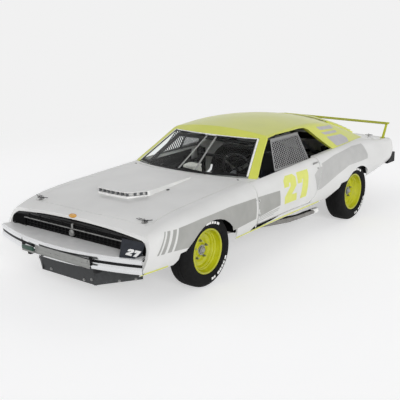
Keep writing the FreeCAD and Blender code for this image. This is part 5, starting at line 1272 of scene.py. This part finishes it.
intake.block((-.105, -1.76, .7), (.105, -1.28, .742), .014, steps=3)
for sign in (-1, 1):
    for k in range(4):
        y = -1.72 + .125 * k
        intake.block((sign * .085, y - .024, .698), (sign * .14, y + .024, .735), .01)
alloy.block((-.06, -1.6, .742), (.06, -1.45, .768), .008)
cleaner.lathe([(0, 0), (0, 142), (6, 150), (10, 150), (10, 140), (40, 140), (40, 150), (45, 150), (50, 140), (54, 50),
    (54, 0)], (0, -1.52, .754), axis=UP, steps=72)
steel.lathe([(0, 0), (0, 13), (8, 12), (11, 6), (11, 0)], (0, -1.52, .807), axis=UP, steps=6)
# front of the engine: pulleys, belt, alternator and fan
FRONT_FACE = -1.9005
for x, z, r in ((0, .4, 85), (0, .56, 70), (-.19, .6, 40), (.18, .5, 55)):
    steel.lathe([(0, 14), (0, r - 6), (4, r), (10, r - 8), (16, r), (20, r - 6), (20, 14)], (x, FRONT_FACE, z),
        axis=FRONT, steps=40)
loop = []
for x, z, r, first, last in ((0, .4, .086, 200, 330), (.18, .5, .056, -50, 60), (0, .56, .071, 60, 110),
        (-.19, .6, .041, 100, 215)):
    for k in range(9):
        t = radians(first + (last - first) * k / 8)
        loop.append((x + r * cos(t), FRONT_FACE - .011, z + r * sin(t)))
Shape().tube(loop, .0048, 8, closed=True).done("engine_belt", RUBBER)
alloy.lathe([(0, 0), (0, 40), (10, 55), (70, 55), (85, 45), (85, 0)], (-.19, FRONT_FACE + .095, .6), axis=FRONT,
    steps=40)
fan = Shape()
for k in range(6):
    t = 2 * pi * k / 6
    out, side = vec(cos(t), 0, sin(t)), vec(-sin(t), 0, cos(t))
    hub_at = vec(0, FRONT_FACE - .045, .56)
    loops = []
    for r, w, pitch in ((.04, .026, .01), (.09, .042, .014), (.15, .052, .015), (.178, .046, .014)):
        shift, thick = side * w + vec(0, pitch, 0), vec(0, .0015, 0)
        a, b = hub_at + out * r + shift, hub_at + out * r - shift
        loops.append([a, b, b + thick, a + thick])
    fan.skin(loops)
fan.lathe([(0, 0), (0, 50), (6, 52), (20, 30), (26, 22), (26, 0)], (0, FRONT_FACE - .02, .56), axis=FRONT, steps=32)
fan.done("cooling_fan", BLUE, slot="dark_steel")
# distributor, brake servo and cylinder, battery, washer bottle
dark.lathe([(0, 0), (0, 34), (40, 34), (45, 40), (75, 36), (85, 24), (85, 0)], (0, -1.205, .69), axis=UP, steps=40)
for k in range(8):
    t = 2 * pi * k / 8
    dark.lathe([(0, 0), (0, 6), (14, 5), (14, 0)], (.022 * cos(t), -1.205 + .022 * sin(t), .764), axis=UP, steps=12)
Shape().lathe([(0, 0), (0, 60), (10, 105), (22, 118), (30, 118), (40, 105), (75, 80), (80, 40), (80, 0)],
    (.46, -.963, .655), axis=FRONT, steps=48).done("brake_servo", DARK)
alloy.block((.425, -1.19, .64), (.495, -1.045, .69), .01, steps=3)
steel.block((.43, -1.185, .69), (.49, -1.05, .702), .004)
battery = Shape().block((-.54, -1.16, .47), (-.32, -.985, .64), .006)
battery.block((-.545, -1.165, .64), (-.315, -.98, .655), .004)
for x in (-.5, -.36):
    battery.lathe([(0, 0), (0, 9), (16, 7.5), (16, 0)], (x, -1.06, .655), axis=UP, steps=16)
battery.done("battery", BLACK)
tray = Shape().block((-.555, -1.175, .462), (-.305, -.97, .4695), .002)
tray.block((-.555, -.9695, .4), (-.305, -.9625, .4695), .002)
for x in (-.535, -.33):
    tray.tube([(x, -1.168, .468), (x, -1.168, .66)], .0035, 8)
tray.block((-.545, -1.173, .656), (-.32, -1.16, .664), .002)
tray.done("battery_tray", DARK)
bottle = Shape().block((.58, -1.13, .5), (.7, -.98, .655), .018, steps=3)
bottle.lathe([(0, 0), (0, 24), (18, 24), (18, 0)], (.64, -1.05, .655), axis=UP, steps=24)
bottle.done("washer_bottle", DIAL, slot="white_paint")
Shape().block((.56, -1.14, .49), (.72, -.9625, .4985), .002).done("bottle_shelf", DARK)
# radiator: core, tank with its cap, hoses and their clips
core = Shape()
for k in range(46):
    z = .385 + .006 * k
    core.block((-.32, -2.0895, z - .0007), (.32, -2.0855, z + .0007))
for k in range(33):
    x = -.32 + .02 * k
    core.block((x - .0012, -2.0895, .38), (x + .0012, -2.0845, .66))
core.done("radiator_core", DARK)
tank = Shape().block((-.345, -2.148, .6805), (.345, -2.092, .692), .004, steps=3)
tank.lathe([(0, 0), (0, 26), (3, 28), (6, 22), (6.5, 10), (6.5, 0)], (-.22, -2.12, .6915), axis=UP, steps=32)
tank.done("radiator_tank", DARK)
hoses.tube(rounded([(.24, -2.094, .66), (.24, -2.02, .66), (.2, -1.96, .675), (.1, -1.9, .7), (.06, -1.8, .712)], .06,
    8), .021, 20)
hoses.tube(rounded([(-.24, -2.082, .42), (-.24, -2.0, .42), (-.16, -1.95, .46), (-.1, -1.905, .52)], .05, 8), .022, 20)
hoses.done("radiator_hoses", HOSE)
for at, way in (((.24, -2.055, .66), (0, 1, 0)), ((.075, -1.84, .705), (-.35, .9, .1)),
        ((-.24, -2.055, .42), (0, 1, 0))):
    steel.lathe([(-5, 21.5), (-5, 23.5), (5, 23.5), (5, 21.5)], at, axis=way, steps=32, loop=True)
# coil springs over the front arms
COILS = 4.5
for sign in (-1, 1):
    coil = [(2 * pi * COILS * k / 90, .243 + .204 * k / 90) for k in range(91)]
    dark.tube([(sign * .585 + .048 * cos(t), FRONT_AXLE_Y + .048 * sin(t), z) for t, z in coil], .0065, 10)
covers.done("valve_covers", BLUE, slot="bare_steel")
fins.done("valve_cover_fins", ALLOY, slot="bare_steel")
cleaner.done("air_cleaner", CHROME, sharp=30)
intake.done("intake_manifold", ALLOY)
alloy.done("engine_castings", ALLOY)
dark.done("engine_dark_parts", DARK)
steel.done("engine_fittings", STEEL)

# ------------------------------------------------------------------ boot
mat = Shape().block((-.5, 1.55, .5605), (.5, 2.18, .5665), .002)
for k in range(12):
    mat.block((-.48, 1.58 + .05 * k, .566), (.48, 1.6 + .05 * k, .5685), .001)
mat.done("boot_mat", RUBBER)
CELL_TOP = .5735
cell = Shape().block((-.15, 1.86, .568), (.15, 2.12, CELL_TOP), .002)
for k in range(12):
    t = 2 * pi * k / 12
    cell.lathe([(0, 0), (0, 6), (4, 6), (5, 4), (5, 0)], (.13 * cos(t), 1.99 + .11 * sin(t), CELL_TOP), axis=UP,
        steps=6)
cell.lathe([(0, 0), (0, 45), (20, 45), (24, 38), (24, 0)], (-.05, 1.99, CELL_TOP), axis=UP, steps=40)
cell.done("fuel_cell_plate", ALLOY, slot="grey_steel")
case = Shape().block((.26, 1.66, .5685), (.46, 1.84, .73), .008, steps=3)
case.block((.255, 1.655, .73), (.465, 1.845, .745), .005)
for y in (1.7, 1.8):
    case.block((.252, y - .012, .5685), (.4685, y + .012, .7485), .003)
case.done("boot_battery_box", BLACK)

# ------------------------------------------------------------------ studio
PLAIN = linear("f1f1f1")


def seen_rays(tree):
    """1 for camera, glossy and transmission rays."""
    path = node(tree, "LightPath")
    either = node(tree, "Math", operation="MAXIMUM")
    also = node(tree, "Math", operation="MAXIMUM")
    link(path, "Is Camera Ray", also, 0)
    link(path, "Is Glossy Ray", also, 1)
    link(also, 0, either, 0)
    link(path, "Is Transmission Ray", either, 1)
    return either


def mixed(made, factor, out, first, second):
    """A mix of two shaders, by an output of a node."""
    link(factor, out, made, 0)
    link(first, 0, made, 1)
    link(second, 0, made, 2)
    return made


FLOOR_HALF, FLOOR_DROP = 80, .001    # the drop keeps it off the tyres' feet
floor = bpy.data.meshes.new("floor")
floor.from_pydata([(x * FLOOR_HALF, y * FLOOR_HALF, 0) for x, y in ((-1, -1), (1, -1), (1, 1), (-1, 1))], [],
    [(0, 1, 2, 3)])
floor_object = bpy.data.objects.new("floor", floor)
floor_object.location.z = -FLOOR_DROP
scene.collection.objects.link(floor_object)
floor_material = bpy.data.materials.new("floor")
floor_material.use_nodes = True
tree = floor_material.node_tree
shader = fill(tree.nodes["Principled BSDF"], Base_Color=(.8, .8, .8, 1), Roughness=1.0, Specular_IOR_Level=0.0)
far = node(tree, "Emission", Strength=1.0, Color=PLAIN)
place = node(tree, "TexCoord")
reach = node(tree, "VectorMath", operation="LENGTH")
link(place, "Object", reach, 0)
# the lit floor fades into the plain background between 3 and 8 m from the middle
fade = node(tree, "MapRange", interpolation_type="SMOOTHSTEP", From_Min=3.0, From_Max=8.0)
link(reach, "Value", fade, "Value")
pale = node(tree, "Emission", Strength=.46, Color=(1, 1, 1, 1))
near = node(tree, "AddShader")
link(shader, 0, near, 0)
link(pale, 0, near, 1)
mix = mixed(node(tree, "MixShader"), fade, "Result", near, far)
# the pale tone is only what is seen: none of it is light on the object
shown = mixed(node(tree, "MixShader"), seen_rays(tree), 0, shader, mix)
link(shown, 0, tree.nodes["Material Output"], "Surface")
floor.materials.append(floor_material)

world = bpy.data.worlds.new("studio")
scene.world = world
world.use_nodes = True
tree = world.node_tree
# a pale room whose walls are brighter than its ceiling
lit = fill(tree.nodes["Background"], Strength=1.0)
way = node(tree, "TexCoord")
split = node(tree, "SeparateXYZ")
link(way, "Generated", split, 0)
rise = node(tree, "ValToRGB")
for stop, position, tone in zip(rise.color_ramp.elements, (0.0, .7), ((.74, .74, .74, 1), (.23, .23, .24, 1))):
    stop.position, stop.color = position, tone
link(split, "Z", rise, "Fac")
link(rise, "Color", lit, "Color")
seen = node(tree, "Background", Color=PLAIN, Strength=1.0)
mix = mixed(node(tree, "MixShader"), seen_rays(tree), 0, lit, seen)
link(mix, 0, tree.nodes["World Output"], "Surface")


def toward(azimuth, elevation):
    """The way out from the car, in radians (azimuth 0 in front, a quarter turn on its left)."""
    flat = cos(elevation)
    return vec(sin(azimuth) * flat, -cos(azimuth) * flat, sin(elevation))


def sun(name, azimuth, elevation, strength, angle):
    """A broad soft lamp; the angles are in degrees."""
    light = bpy.data.lights.new(name, "SUN")
    light.energy, light.angle = strength, radians(angle)
    made = bpy.data.objects.new(name, light)
    made.visible_glossy = False    # gloss shows the pale room, and not the lamps
    scene.collection.objects.link(made)
    made.rotation_euler = toward(radians(azimuth), radians(elevation)).to_track_quat("Z", "Y").to_euler()


sun("key", 52, 14, 2.2, 40)
sun("fill", -50, 20, .5, 60)
sun("rear", 190, 24, .4, 60)

# camera at the photographed angle
AZIMUTH, ELEVATION, ROLL = map(radians, (38.08, 14.7, -.45))
CAMERA_AT, FOCAL_PIXELS, PHOTO_PIXELS, SENSOR = (4.823, -6.66, 2.513), 749.7, 400, 36.0
back = toward(AZIMUTH, ELEVATION)
right = vec(cos(AZIMUTH), sin(AZIMUTH), 0)
up = back.cross(right)
across = right * cos(ROLL) + up * sin(ROLL)
upward = up * cos(ROLL) - right * sin(ROLL)
camera = bpy.data.objects.new("camera", bpy.data.cameras.new("camera"))
scene.collection.objects.link(camera)
turn = Matrix((across, upward, back)).transposed().to_4x4()
turn.translation = CAMERA_AT
camera.matrix_world = turn
camera.data.sensor_width = SENSOR
camera.data.lens = FOCAL_PIXELS / PHOTO_PIXELS * SENSOR
camera.data.clip_end = 200
scene.camera = camera
scene.view_settings.view_transform = "Standard"
